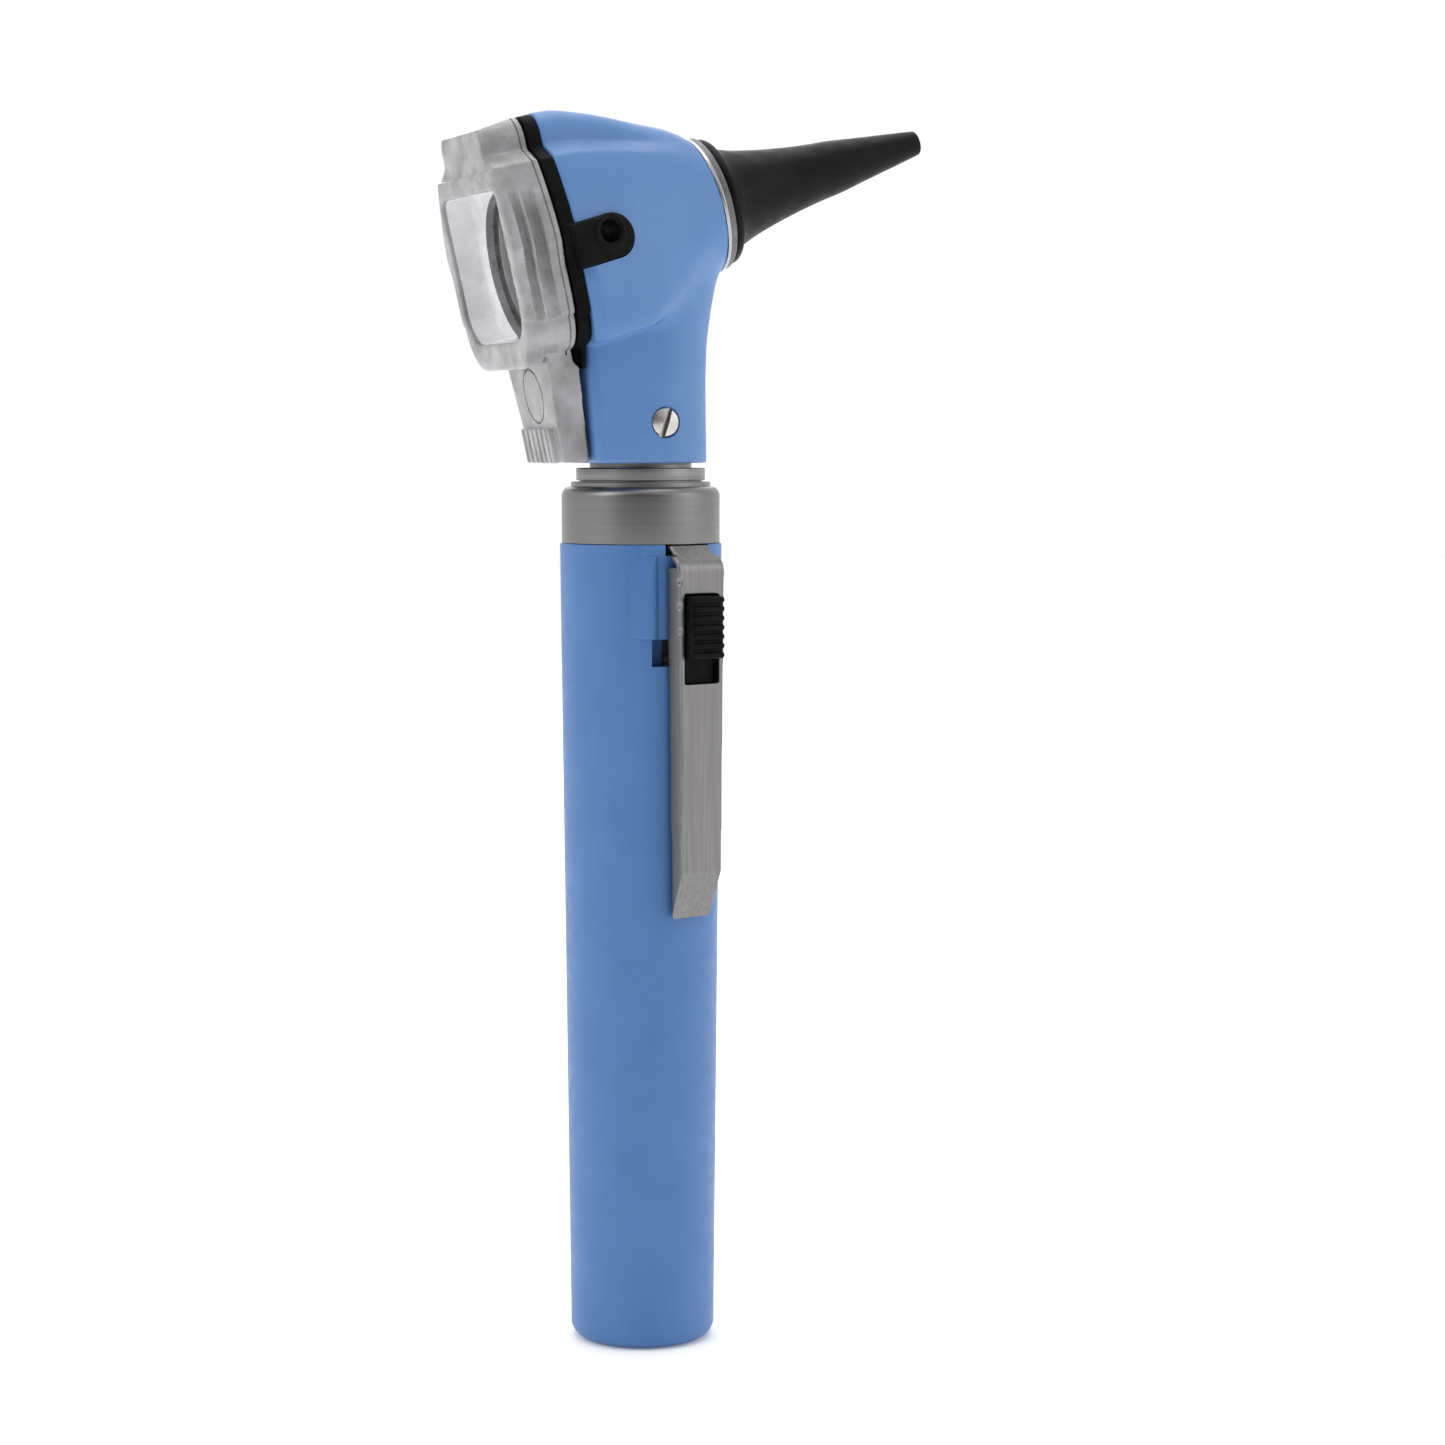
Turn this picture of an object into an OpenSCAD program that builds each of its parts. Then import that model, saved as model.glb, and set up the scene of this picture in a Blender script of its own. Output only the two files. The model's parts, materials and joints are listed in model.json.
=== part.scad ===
// Pocket otoscope: battery handle with clip and slide switch, and an angled fibre-optic head.
// Millimetres, +Z up along the handle axis, origin at the centre of the handle's flat base.
// The ear speculum points along +X and upwards, and the window faces -X.

/* [Handle] */
// Height of the battery tube
tube_h = 107.3; // [106.5:0.1:108]
// Outer diameter of the tube at its base
tube_base_d = 19.3; // [19:0.1:20]
// Outer diameter of the tube under the collar
tube_top_d = 21.5; // [21.3:0.1:22]
// Bore for the two cells
tube_bore_d = 15; // [14.9:0.05:15.2]
// Thickness of the tube's floor
tube_floor = 2.5; // [2:0.1:3]
// Radius of the rounded edge at the foot of the tube
foot_r = 2; // [1:0.1:2.2]

/* [Collar] */
// Outer diameter of the metal collar
collar_d = 21; // [20.6:0.1:21.2]
// Height of the collar above the tube
collar_h = 8.1; // [7.9:0.1:8.2]
// Radius of the collar's rounded top edge
collar_edge_r = 1.3; // [0.6:0.1:1.3]
// Lead of the thread that joins head and handle
thread_pitch = 1.5; // [1.2:0.1:1.6]

/* [Clip and switch] */
// Direction that the clip faces, about the handle axis
clip_azimuth = -73.5; // [-100:0.5:-40]
// Distance of the clip's outer face from the handle axis
clip_face_rho = 13.4; // [13.3:0.1:13.8]
// Thickness of the clip's spring steel
clip_t = 0.7; // [0.6:0.05:0.8]
// Width of the clip at its top
clip_top_w = 7.4; // [7.3:0.1:7.6]
// Width of the clip at its bottom
clip_bottom_w = 6.2; // [6:0.1:6.6]
// Height of the clip's lower end above the base
clip_bottom_z = 58; // [50:0.5:64]
// Height of the clip's strap, which runs in under the collar
clip_top_z = 107.2; // [107:0.05:107.2]
// Width of the slot that the button runs in
slot_w = 5.66; // [5.5:0.02:5.7]
// Height of the slot
slot_h = 11.8; // [11.7:0.1:12]
// Height of the thumb button
knob_h = 8.4; // [8:0.1:8.5]
// Travel of the switch, down from its rest at the top of the slot
switch_travel = 3; // [2:0.1:3]

/* [Head] */
// Upward tilt of the optical axis
axis_tilt = 16.5; // [16.5:0.5:18]
// Distance of the seat ring's centre in front of the handle axis
ring_x = 8.15; // [8.1:0.05:8.5]
// Height of the seat ring's centre
ring_z = 151.75; // [151.6:0.05:152.2]
// Length of the head's shell along the optical axis
shell_l = 22.4; // [22.3:0.1:22.6]
// Upward tilt of the window's pivot axis
rear_tilt = 12.5; // [12.5:0.1:13]
// Diameter of the head's round front
front_d = 18.3; // [18:0.1:18.6]
// Diameter of the head's neck
neck_d = 17.5; // [17.2:0.1:18]
// Height of the neck's lower end
neck_z = 117.9; // [117.8:0.1:118.2]
// Half width of the head's cap above its shoulders
cap_w = 8.5; // [8:0.1:9]
// Height of the cap above the optical axis
cap_u = 17.6; // [17.2:0.1:18]
// Half width of the head at its widest
shield_w = 15; // [14.6:0.1:15.4]
// Depth of the head's lower edge below the optical axis
shield_low_u = 12.7; // [12.5:0.1:13]

/* [Window and speculum] */
// Thickness of the black bezel
bezel_t = 1.85; // [1.7:0.05:2]
// Depth of the window's body
window_t = 6.2; // [6:0.1:6.4]
// Height of the raised lens block over the window's body
block_t = 0.6; // [0.5:0.05:0.8]
// Diameter of the magnifier lens
lens_d = 20; // [18:0.5:20.5]
// Distance of the window's pivot above the optical axis
pivot_u = 12.5; // [12:0.1:13]
// Length of the speculum
speculum_l = 31.7; // [28:0.1:32]
// Outer diameter of the speculum's tip
speculum_tip_d = 3.4; // [3:0.1:4]

/* [Hidden] */
$fn = 96;
// Small allowance so that a cutting tool runs past the face that it cuts
cut = 0.5;
// Facets on the pieces that are joined into one smooth hull
hull_fn = 32;

blue = "#5A82B8";
head_blue = "#6389B8";
black = "#1B1C1A";
satin = "#8E8D8B";
clear = "#A9A8AA";

// Cells: AA size, nominal diameter and length over the nub
cell_d = 14.5;
cell_l = 50.5;
nub_d = 5.5;
nub_h = 1;
cell_z = 7;

strip_w = 4;
strip_t = 0.4;
strip_rho = tube_bore_d / 2 + 0.03;
strip_end_z = 92.6;
pocket_w = 10.2;
pocket_z = 91.4;
saddle_z = 95;
saddle_h = 10.9;
saddle_angle = 45;
saddle_channel_w = 8;

collar_z = tube_h;
collar_top_z = collar_z + collar_h;
collar_step_d = 18.5;
collar_step_h = 0.6;
spigot_d = 18.3;
spigot_l = 3;
collar_bore_d = 16.4;
collar_bore_z = 108.3;
thread_clearance = 0.08;
plug_d = collar_bore_d - 2 * thread_clearance;
plug_z = 108.8;
thread_depth = 0.45;
thread_turns = 4;

clip_inner_rho = 10.85;
clip_bend_r = 2;
clip_bend_z = 103.9;
clip_bend_angle = 50;
clip_toe_h = 6.4;
flange_top_z = 104.4;
strap_w = 6.2;
strap_slot_w = strap_w + 0.8;
strap_slot_z = clip_top_z - 1.3;
slot_top_z = 101;
knob_gap = 0.2;
knob_w = 5.2;
knob_proud = 1.6;
rib_count = 7;
slider_t = 1;
slider_rho = clip_face_rho - clip_t - 0.15;
slider_top_z = 103.4;
slider_bottom_z = 88.3;
slider_w = 5;
leaf_t = 0.3;

ring_base_z = 115.6;
ring_h = 1.6;
ring_d = 17.1;
waist_d = 13.5;
spindle_top_z = 126;
bush_d = 10.3;
bush_z = 109.4;
bush_top_z = 115.3;
socket_d = 6.6;
lamp_d = 6;
lamp_l = 15;
lamp_contact_d = 4;
lamp_contact_z = 112.5;
socket_z = 115.9;
screw_azimuth = -87.5;
screw_slot_lean = -14;
screw_z = 123.2;
screw_head_d = 3.9;
screw_thread_d = 2;

// Width of the chamfer on the lower rear edges of the head
chamfer_w = 1.1;
bezel_gap = 0.25;
bezel_lip_w = 17.2;
// Height of the lower end of the bezel's lip behind the neck
lip_z = 130;
// Centre of the lens and of the bezel's opening, relative to the optical axis
lens_u = -1.2;
// Depth of the window's front face behind the shell
window_front = bezel_t + bezel_gap;
// Depth of the lens block's lower edge below the optical axis, and the slope of the window's top
block_low_u = 14;
cap_slope = 8;
pin_d = 2.5;
// Depth of the pivot pin in the window, with a barb at its end
pin_depth = 4.3;
barb_r = 1.6;
barb_t = 1;
// Distance of the port behind the ring, and its height above the optical axis
port_s = 17.8;
port_u = 0.7;
port_d = 3;
tab_h = 5.8;
tab_t = 2.2;
// Offset of the tab's rounded end from the port
tab_end = 0.8;
port_sleeve_d = 4.2;
port_sleeve_l = 3.6;
tab_proud = 0.1;
side_angle = atan((shield_w - front_d / 2) / shell_l);

// Points of a circular arc from angle a to angle b, in steps of about 7 degrees
function arc(cy, cu, r, a, b) =
    let (steps = max(2, ceil(abs(b - a) / 7)))
    [for (i = [0 : steps]) let (t = a + (b - a) * i / steps) [cy + r * cos(t), cu + r * sin(t)]];

// Right half of the head's shield outline, from the top centre down, as [y, u] points. Its lower sides are
// narrower by inset.
side_r = 36.4;
side_low_u = -4;
low_taper = 0.95;
function shield_half(corner_r, inset, low) = concat(
    [[0, cap_u]],
    arc(cap_w - 3, cap_u - 3, 3, 90, 12),
    [[cap_w, 13.3]],
    arc(shield_w - side_r, side_low_u, side_r, 25.5, 0),
    arc(shield_w - low_taper - inset - corner_r, corner_r - low, corner_r, 0, -90),
    [[0, -low]]);
function mirrored(points) = [for (i = [len(points) - 2 : -1 : 1]) [-points[i][0], points[i][1]]];
module shield(corner_r, inset = 0, low = shield_low_u) {
    half = shield_half(corner_r, inset, low);
    polygon(concat(half, mirrored(half)));
}

// Local frame of the clip: +X is the clip's outward direction
module clip_frame() {
    rotate([0, 0, clip_azimuth]) children();
}

// Local frame of the head: +X runs forward along the optical axis from the seat ring, +Z is its upward side
module optic_frame() {
    translate([ring_x, 0, ring_z]) rotate([0, -axis_tilt, 0]) children();
}

// Local frame of the bezel and the window, whose origin is where the optical axis leaves the shell
module rear_frame() {
    optic_frame() translate([-shell_l, 0, 0]) rotate([0, axis_tilt - rear_tilt, 0]) children();
}

// Thin section of the shell at distance s behind the ring, of an outline drawn as [y, u]
module shell_section(s) {
    optic_frame() translate([-s - 0.1, 0, 0]) rotate([90, 0, 90]) linear_extrude(0.1) children();
}

// Extrudes an outline, drawn as [y, u], rearward from a depth behind the shell
module rear_plate(depth, t) {
    rear_frame() translate([-depth - t, 0, 0]) rotate([90, 0, 90]) linear_extrude(t) children();
}

// Turns a profile, drawn as [radius, distance forward], about the optical axis
module optic_turn() {
    optic_frame() rotate([0, 90, 0]) rotate_extrude() children();
}

// Frame of the insufflation port, with +Z out of the head's side
module port_frame() {
    side_y = shield_w - (shell_l - port_s) * tan(side_angle);
    optic_frame() translate([-port_s, -side_y, port_u]) rotate([90, 0, side_angle]) children();
}

// Frame of the clamp screw, with +Z out of the neck
module screw_frame() {
    rotate([0, 0, screw_azimuth]) translate([0, 0, screw_z]) rotate([0, 90, 0]) children();
}

// Spring wire along a helix whose radius runs from r1 to r2, rising from z1 to z2
module spring(r1, r2, z1, z2, turns, wire_r) {
    sides = 8;
    rings = turns * 20;
    function centre(k) = let (f = k / rings, r = r1 + (r2 - r1) * f)
        [r * cos(360 * turns * f), r * sin(360 * turns * f), z1 + (z2 - z1) * f];
    function ring_point(k, j) = let (a = 360 * turns * k / rings, b = 360 * j / sides, c = centre(k))
        c + wire_r * [cos(b) * cos(a), cos(b) * sin(a), sin(b)];
    points = [for (k = [0 : rings]) for (j = [0 : sides - 1]) ring_point(k, j)];
    walls = [for (k = [0 : rings - 1]) for (j = [0 : sides - 1])
        let (n = (j + 1) % sides) [k * sides + j, (k + 1) * sides + j, (k + 1) * sides + n, k * sides + n]];
    first_cap = [for (j = [0 : sides - 1]) j];
    last_cap = [for (j = [sides - 1 : -1 : 0]) rings * sides + j];
    polyhedron(points, concat(walls, [first_cap, last_cap]), convexity = 8);
}

// ---- Handle ----

module tube_profile() {
    base_r = tube_base_d / 2;
    polygon([[0, 0], [base_r - foot_r, 0], [base_r - 0.02, foot_r], [tube_top_d / 2, tube_h], [0, tube_h]]);
    translate([base_r - foot_r, foot_r]) circle(foot_r);
}

// Two cheeks beside the clip, flat and tangent to the tube
module saddle() {
    r = tube_top_d / 2;
    half_channel = saddle_channel_w / 2;
    crest = (r - half_channel * sin(saddle_angle)) / cos(saddle_angle);
    touch = r * [cos(saddle_angle), sin(saddle_angle)];
    for (side = [-1, 1]) {
        difference() {
            translate([0, 0, saddle_z]) linear_extrude(saddle_h)
                polygon([[r - 3, side * half_channel], [crest, side * half_channel],
                         [touch[0], side * touch[1]], [touch[0] - 2, side * (touch[1] - 2)]]);
            translate([crest - 0.9, side * half_channel, saddle_z + saddle_h]) rotate([0, 45, 0])
                cube([2, 3, 1.6], center = true);
        }
    }
}

module handle_tube() {
    strip_slot_w = strip_w + 0.3;
    color(blue) difference() {
        union() {
            rotate_extrude() tube_profile();
            clip_frame() saddle();
        }
        translate([0, 0, tube_floor]) cylinder(d = tube_bore_d, h = tube_h);
        translate([0, 0, tube_h - spigot_l]) cylinder(d = spigot_d + 0.1, h = spigot_l + cut);
        clip_frame() {
            translate([0, -strip_slot_w / 2, tube_floor])
                cube([strip_rho + strip_t + 0.15, strip_slot_w, tube_h]);
            translate([strip_rho, -pocket_w / 2, pocket_z]) cube([8, pocket_w, saddle_z - pocket_z]);
            translate([strip_rho, -strap_slot_w / 2, strap_slot_z]) cube([8, strap_slot_w, 3]);
        }
    }
}

module handle_collar() {
    r = collar_d / 2;
    shoulder_h = collar_h - collar_step_h;
    color(satin) difference() {
        rotate_extrude() {
            translate([0, collar_z]) square([r - collar_edge_r, shoulder_h]);
            translate([0, collar_z]) square([r, shoulder_h - collar_edge_r]);
            translate([r - collar_edge_r, collar_z + shoulder_h - collar_edge_r]) circle(collar_edge_r);
            translate([0, collar_z]) square([collar_step_d / 2, collar_h]);
            translate([0, collar_z - spigot_l]) square([spigot_d / 2, spigot_l]);
        }
        translate([0, 0, collar_z - spigot_l - cut]) cylinder(d = 15.2, h = collar_h);
        translate([0, 0, collar_bore_z]) cylinder(d = collar_bore_d, h = collar_h);
        clip_frame() translate([5, -strap_slot_w / 2, strap_slot_z])
            cube([6, strap_slot_w, collar_z - strap_slot_z]);
    }
}

module return_strip() {
    color("#C9B27A") {
        translate([0, 0, tube_floor]) cylinder(r = 6.8, h = strip_t);
        clip_frame() {
            translate([6, -strip_w / 2, tube_floor]) cube([strip_rho + strip_t - 6, strip_w, strip_t]);
            translate([strip_rho, -strip_w / 2, tube_floor])
                cube([strip_t, strip_w, strip_end_z - tube_floor]);
            translate([strip_rho, -strip_w / 2, strip_end_z - strip_t]) cube([3, strip_w, strip_t]);
        }
    }
}

module battery_spring() {
    wire_r = 0.45;
    low = tube_floor + strip_t + wire_r + 0.02;
    color(satin) spring(5.4, 3.4, low, cell_z - wire_r - 0.02, 3, wire_r);
}

module cell(z) {
    edge = 0.5;
    translate([0, 0, z]) {
        cylinder(d1 = cell_d - 2 * edge, d2 = cell_d, h = edge);
        translate([0, 0, edge]) cylinder(d = cell_d, h = cell_l - nub_h - 2 * edge);
        translate([0, 0, cell_l - nub_h - edge]) cylinder(d1 = cell_d, d2 = cell_d - 2 * edge, h = edge);
        translate([0, 0, cell_l - nub_h]) cylinder(d = nub_d, h = nub_h);
    }
}
module battery_lower() {
    color("#4A4C50") cell(cell_z);
}
module battery_upper() {
    color("#4A4C50") cell(cell_z + cell_l);
}

// ---- Clip and switch ----

// Side outline of the clip as [distance from the axis, height], set in from its outer face by inset. Above its
// bend the clip leans in towards the collar.
module clip_side(inset) {
    face = clip_face_rho - inset;
    open_rho = clip_inner_rho - inset / 2;
    centre = clip_face_rho - clip_bend_r;
    bend = arc(centre, clip_bend_z, clip_bend_r - inset, 0, clip_bend_angle);
    last = bend[len(bend) - 1];
    lean_z = clip_top_z - inset - last[1];
    lean = last[0] - lean_z * tan(clip_bend_angle);
    polygon(concat(
        [[open_rho, clip_bottom_z + 1.25 * inset], [face, clip_bottom_z + clip_toe_h]],
        bend,
        [[lean, clip_top_z - inset], [min(open_rho, lean - 0.05), clip_top_z - inset]]));
}

// Front outline of the clip, narrowing downwards, set in by inset
module clip_front(inset) {
    top = clip_top_w / 2 - inset;
    bottom = clip_bottom_w / 2 - inset;
    polygon([[-bottom, clip_bottom_z - 1], [bottom, clip_bottom_z - 1], [top, clip_top_z + 1],
             [-top, clip_top_z + 1]]);
}

module clip_solid(inset) {
    intersection() {
        translate([0, 10, 0]) rotate([90, 0, 0]) linear_extrude(20) clip_side(inset);
        rotate([90, 0, 90]) linear_extrude(20) clip_front(inset);
    }
}

module clip() {
    tongue_rho = 8.2;
    slot_z = slot_top_z - slot_h;
    color(satin) clip_frame() {
        difference() {
            clip_solid(0);
            clip_solid(clip_t);
            // Above its side flanges the clip is a flat strap, narrower than the clip
            translate([0, 10, 0]) rotate([90, 0, 0]) linear_extrude(20) intersection() {
                clip_side(clip_t);
                translate([0, flange_top_z]) square([20, 10]);
            }
            for (side = [-1, 1])
                translate([5, side * (strap_w / 2 + 5) - 5, clip_bend_z + 2]) cube([10, 10, 5]);
            translate([clip_face_rho - 2, -slot_w / 2, slot_z]) cube([4, slot_w, slot_h]);
        }
        translate([tongue_rho, -strap_w / 2, clip_top_z - clip_t])
            cube([clip_inner_rho - 0.1 - tongue_rho, strap_w, clip_t]);
        // Grip bumps that press on the tube near the clip's lower end
        for (side = [-1, 1])
            translate([clip_inner_rho + 0.3, side * (clip_bottom_w / 2 - clip_t / 2), clip_bottom_z + 3.2])
                rotate([90, 0, 0]) cylinder(d = 1.4, h = clip_t * 0.9, center = true);
    }
}

module switch_slider() {
    color(black) clip_frame()
        translate([slider_rho - slider_t, -slider_w / 2, slider_bottom_z])
            cube([slider_t, slider_w, slider_top_z - slider_bottom_z]);
}

module switch_knob() {
    knob_z = slot_top_z - knob_gap - knob_h;
    body_top = clip_face_rho + knob_proud - 0.45;
    rib_pitch = knob_h / rib_count;
    color(black) clip_frame() {
        translate([slider_rho, -knob_w / 2, knob_z]) cube([body_top - slider_rho, knob_w, knob_h]);
        for (i = [0 : rib_count - 1])
            translate([body_top, 0, knob_z + rib_pitch * (i + 0.5)]) rotate([90, 0, 0])
                cylinder(r = 0.45, h = knob_w, center = true);
    }
}

module switch_contact() {
    leaf_h = 9;
    color("#C9B27A") clip_frame()
        translate([slider_rho - slider_t - leaf_t, -1.5, slider_bottom_z + 1]) cube([leaf_t, 3, leaf_h]);
}

// ---- Contacts and head base ----

module centre_contact() {
    color("#C9A94E") {
        translate([0, 0, 108.05]) cylinder(r1 = 1.6, r2 = 2.2, h = 0.6);
        translate([0, 0, 108.65]) cylinder(r = 2.2, h = 1.2);
    }
}

module contact_spring() {
    color(satin) spring(1.5, 1.5, 110.12, lamp_contact_z - 0.27, 3, 0.25);
}

module contact_insulator() {
    color("#D8D4C8") difference() {
        translate([0, 0, bush_z]) cylinder(d = bush_d, h = bush_top_z - bush_z);
        translate([0, 0, bush_z - cut]) cylinder(r = 2.25, h = bush_top_z - bush_z + 1);
    }
}

module thread_groove(z) {
    outer = plug_d / 2;
    polygon([[outer + 0.1, z - 0.55], [outer + 0.1, z + 0.55], [outer - thread_depth, z + 0.12],
             [outer - thread_depth, z - 0.12]]);
}

module head_base() {
    color("#737072") difference() {
        union() {
            translate([0, 0, plug_z]) cylinder(d = plug_d, h = ring_base_z - plug_z);
            translate([0, 0, ring_base_z]) cylinder(d = ring_d, h = ring_h);
            translate([0, 0, ring_base_z]) cylinder(d = waist_d, h = spindle_top_z - ring_base_z);
        }
        rotate_extrude()
            for (i = [0 : thread_turns - 1]) thread_groove(plug_z + 0.9 + i * thread_pitch);
        translate([0, 0, plug_z - cut]) cylinder(d = bush_d + 0.1, h = bush_top_z + 0.1 - plug_z + cut);
        translate([0, 0, bush_top_z]) cylinder(d = 5, h = 2);
        translate([0, 0, socket_z]) cylinder(d = socket_d, h = 12);
        screw_frame() cylinder(d = screw_thread_d + 0.1, h = 8);
    }
}

module head_screw() {
    shank = 2.1;
    seat = neck_d / 2 - 1.3;
    color(satin) screw_frame() difference() {
        union() {
            translate([0, 0, seat - shank]) cylinder(d = screw_thread_d, h = shank + 0.1);
            translate([0, 0, seat]) cylinder(d = screw_head_d, h = 1.35);
        }
        translate([0, 0, seat + 1.2]) rotate([0, 0, screw_slot_lean]) cube([5, 0.62, 1.2], center = true);
    }
}

// Metal sleeve of the lamp, with a rim at each end
module lamp_base() {
    rim_d = lamp_d + 0.4;
    rim_h = 0.8;
    color("#A9A7A2") translate([0, 0, socket_z + 0.1]) {
        cylinder(d = rim_d, h = rim_h);
        cylinder(d = lamp_d, h = lamp_l);
        translate([0, 0, lamp_l - rim_h]) cylinder(d = rim_d, h = rim_h);
    }
}
module lamp_pin() {
    groove_z = socket_z - 1.3;
    color("#C9A94E") difference() {
        translate([0, 0, lamp_contact_z]) cylinder(d = lamp_contact_d, h = socket_z + 0.1 - lamp_contact_z);
        translate([0, 0, groove_z]) difference() {
            cylinder(d = lamp_contact_d + 1, h = 0.6);
            translate([0, 0, -cut]) cylinder(d = lamp_contact_d - 0.6, h = 2);
        }
    }
}
module lamp_glass() {
    glass_d = 4.6;
    glass_z = socket_z + 0.1 + lamp_l;
    color("#D8E0E4") {
        translate([0, 0, glass_z]) cylinder(d = glass_d, h = 1);
        translate([0, 0, glass_z + 1]) intersection() {
            sphere(d = glass_d);
            cylinder(d = glass_d + 1, h = glass_d);
        }
    }
}

// Fibre bundle that rises from the lamp and bends forward into the nose
module light_guide() {
    bundle_r = 1.5;
    bend_r = 8.25;
    start_z = 134.8;
    bend_z = 137.4;
    color("#D9DEDC") {
        translate([0, 0, start_z]) cylinder(r = bundle_r, h = bend_z - start_z);
        translate([bend_r, 0, bend_z]) rotate([90, 0, 0]) mirror([1, 0, 0])
            rotate_extrude(angle = 90 - axis_tilt) translate([bend_r, 0]) circle(bundle_r);
    }
}

// ---- Head ----

module shell_outer() {
    hull($fn = hull_fn) {
        rear_plate(-0.1, 0.1) shield(1, chamfer_w);
        rear_plate(-1.4, 0.1) scale([0.976, 0.997]) shield(1);
        shell_section(15.4) scale([0.886, 0.935]) shield(1);
        shell_section(7) translate([0, 1.2]) scale([11, 11.75]) circle(1, $fn = hull_fn);
        shell_section(0) circle(d = front_d, $fn = 48);
    }
}

// Neck with a round front and a leaning rear face
module neck() {
    top_z = 142;
    intersection() {
        translate([0, 0, neck_z]) linear_extrude(top_z - neck_z) {
            circle(d = neck_d);
            translate([-15, -neck_d / 2]) square([15, neck_d]);
        }
        translate([0, 15, 0]) rotate([90, 0, 0]) linear_extrude(30)
            polygon([[-8.85, neck_z - 1], [12, neck_z - 1], [12, top_z + 1], [-8, top_z + 1], [-10.3, 135],
                     [-10.5, 132.8], [-10.4, 129.5]]);
    }
}

module viewing_chamber() {
    optic_frame() {
        translate([-shell_l - 1.5, 0, 0]) rotate([0, 90, 0])
            cylinder(r1 = 10.8, r2 = 7.3, h = shell_l + 1.5 - 4);
        translate([-5, 0, 0]) rotate([0, 90, 0]) cylinder(r = 7.3, h = 6);
    }
}

module tab_outline(grow) {
    length = shell_l - port_s + 1;
    translate([tab_end, -port_u]) circle(tab_h / 2 + grow);
    translate([-length, -port_u - tab_h / 2 - grow]) square([length + tab_end, tab_h + 2 * grow]);
}

module head_shell() {
    color(head_blue) difference() {
        union() {
            shell_outer();
            neck();
        }
        viewing_chamber();
        translate([0, 0, neck_z - cut]) cylinder(d = waist_d + 0.1, h = spindle_top_z - neck_z + 0.6);
        translate([0, 0, neck_z]) cylinder(r = 5.4, h = 27.3);
        screw_frame() cylinder(d = screw_thread_d + 0.2, h = 10);
        screw_frame() translate([0, 0, neck_d / 2 - 1.3]) cylinder(d = screw_head_d + 0.1, h = 4);
        port_frame() translate([0, 0, tab_proud - tab_t - 0.05]) linear_extrude(6) tab_outline(0.05);
        port_frame() translate([0, 0, -8]) cylinder(d = port_sleeve_d + 0.1, h = 10);
        rear_frame() translate([-cut, 0, pivot_u]) rotate([0, 90, 0]) cylinder(d = pin_d + 0.1, h = 4.5);
    }
}

module nose_cone() {
    color(satin) optic_turn() polygon([
        [4.6, -3.9], [7.2, -3.9], [7.2, 1.4], [5.3, 1.4], [4.9, 5], [3.3, 12.5], [2.6, 12.5], [3.6, 5]]);
}

module seat_ring() {
    color("#B9C0C8") optic_turn() difference() {
        square([front_d / 2, 0.55]);
        translate([0, -1]) square([7.25, 3]);
    }
}

module speculum_seat() {
    color("#5F6062") optic_turn() translate([0, 0.55]) difference() {
        square([front_d / 2 - 0.25, 0.9]);
        translate([0, -1]) square([7.25, 3]);
    }
}

module speculum() {
    tip_r = speculum_tip_d / 2;
    flange_s = 1.6;
    tip_s = flange_s + speculum_l;
    wall = 0.8;
    color(black) optic_turn() {
        polygon([[5.75, flange_s], [8, flange_s], [8.45, flange_s + 0.4], [8.45, flange_s + 1],
                 [7.6, flange_s + 1.7], [6.3, flange_s + 3.4], [5.65, flange_s + 5.6], [5.15, flange_s + 7.8],
                 [tip_r + 0.12, tip_s - 1], [tip_r, tip_s - 0.5], [tip_r - 0.25, tip_s - 0.1],
                 [tip_r - 0.6, tip_s], [tip_r - 0.65, tip_s - 0.4], [tip_r - wall + 0.1, tip_s - 1.2],
                 [5 - wall, flange_s + 8.2], [5.4, flange_s + 4]]);
    }
}

// ---- Bezel and window ----

module bezel() {
    opening_r = 9.9;
    groove = [10.15, 10.95];
    color(black) difference() {
        union() {
            rear_plate(0, bezel_t) shield(4, chamfer_w);
            translate([0, bezel_lip_w / 2, 0]) rotate([90, 0, 0]) linear_extrude(bezel_lip_w)
                polygon([[-11.35, 133.3], [-10.75, 133.3], [-10.62, 132.7], [-10.62, lip_z], [-11.05, lip_z]]);
            port_frame() translate([0, 0, tab_proud - tab_t]) linear_extrude(tab_t) tab_outline(0);
            port_frame() translate([0, 0, -port_sleeve_l]) cylinder(d = port_sleeve_d, h = port_sleeve_l);
        }
        rear_frame() translate([-bezel_t - cut, 0, lens_u]) rotate([0, 90, 0]) {
            cylinder(r = opening_r, h = bezel_t + 1);
            difference() {
                cylinder(r = groove[1], h = 0.8 + cut);
                translate([0, 0, -cut]) cylinder(r = groove[0], h = 2);
            }
        }
        port_frame() translate([0, 0, -5]) cylinder(d = port_d, h = 7);
        rear_frame() translate([-bezel_t - cut, 0, pivot_u]) rotate([0, 90, 0])
            cylinder(d = pin_d + 0.1, h = bezel_t + 1);
    }
}

module window_gasket() {
    color("#2A2A2C") rear_frame() translate([-bezel_t - 0.15, 0, lens_u]) rotate([0, 90, 0])
        difference() {
            cylinder(r = 10.9, h = 0.9);
            translate([0, 0, -cut]) cylinder(r = 10.2, h = 2);
        }
}

// Pin with a barbed end, which snaps into the window
module window_pivot() {
    end = window_front + pin_depth;
    color(satin) rear_frame() translate([-end, 0, pivot_u]) rotate([0, 90, 0]) {
        cylinder(d = pin_d, h = pin_depth + bezel_gap + bezel_t + 3);
        cylinder(r = barb_r, h = barb_t);
    }
}

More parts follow.
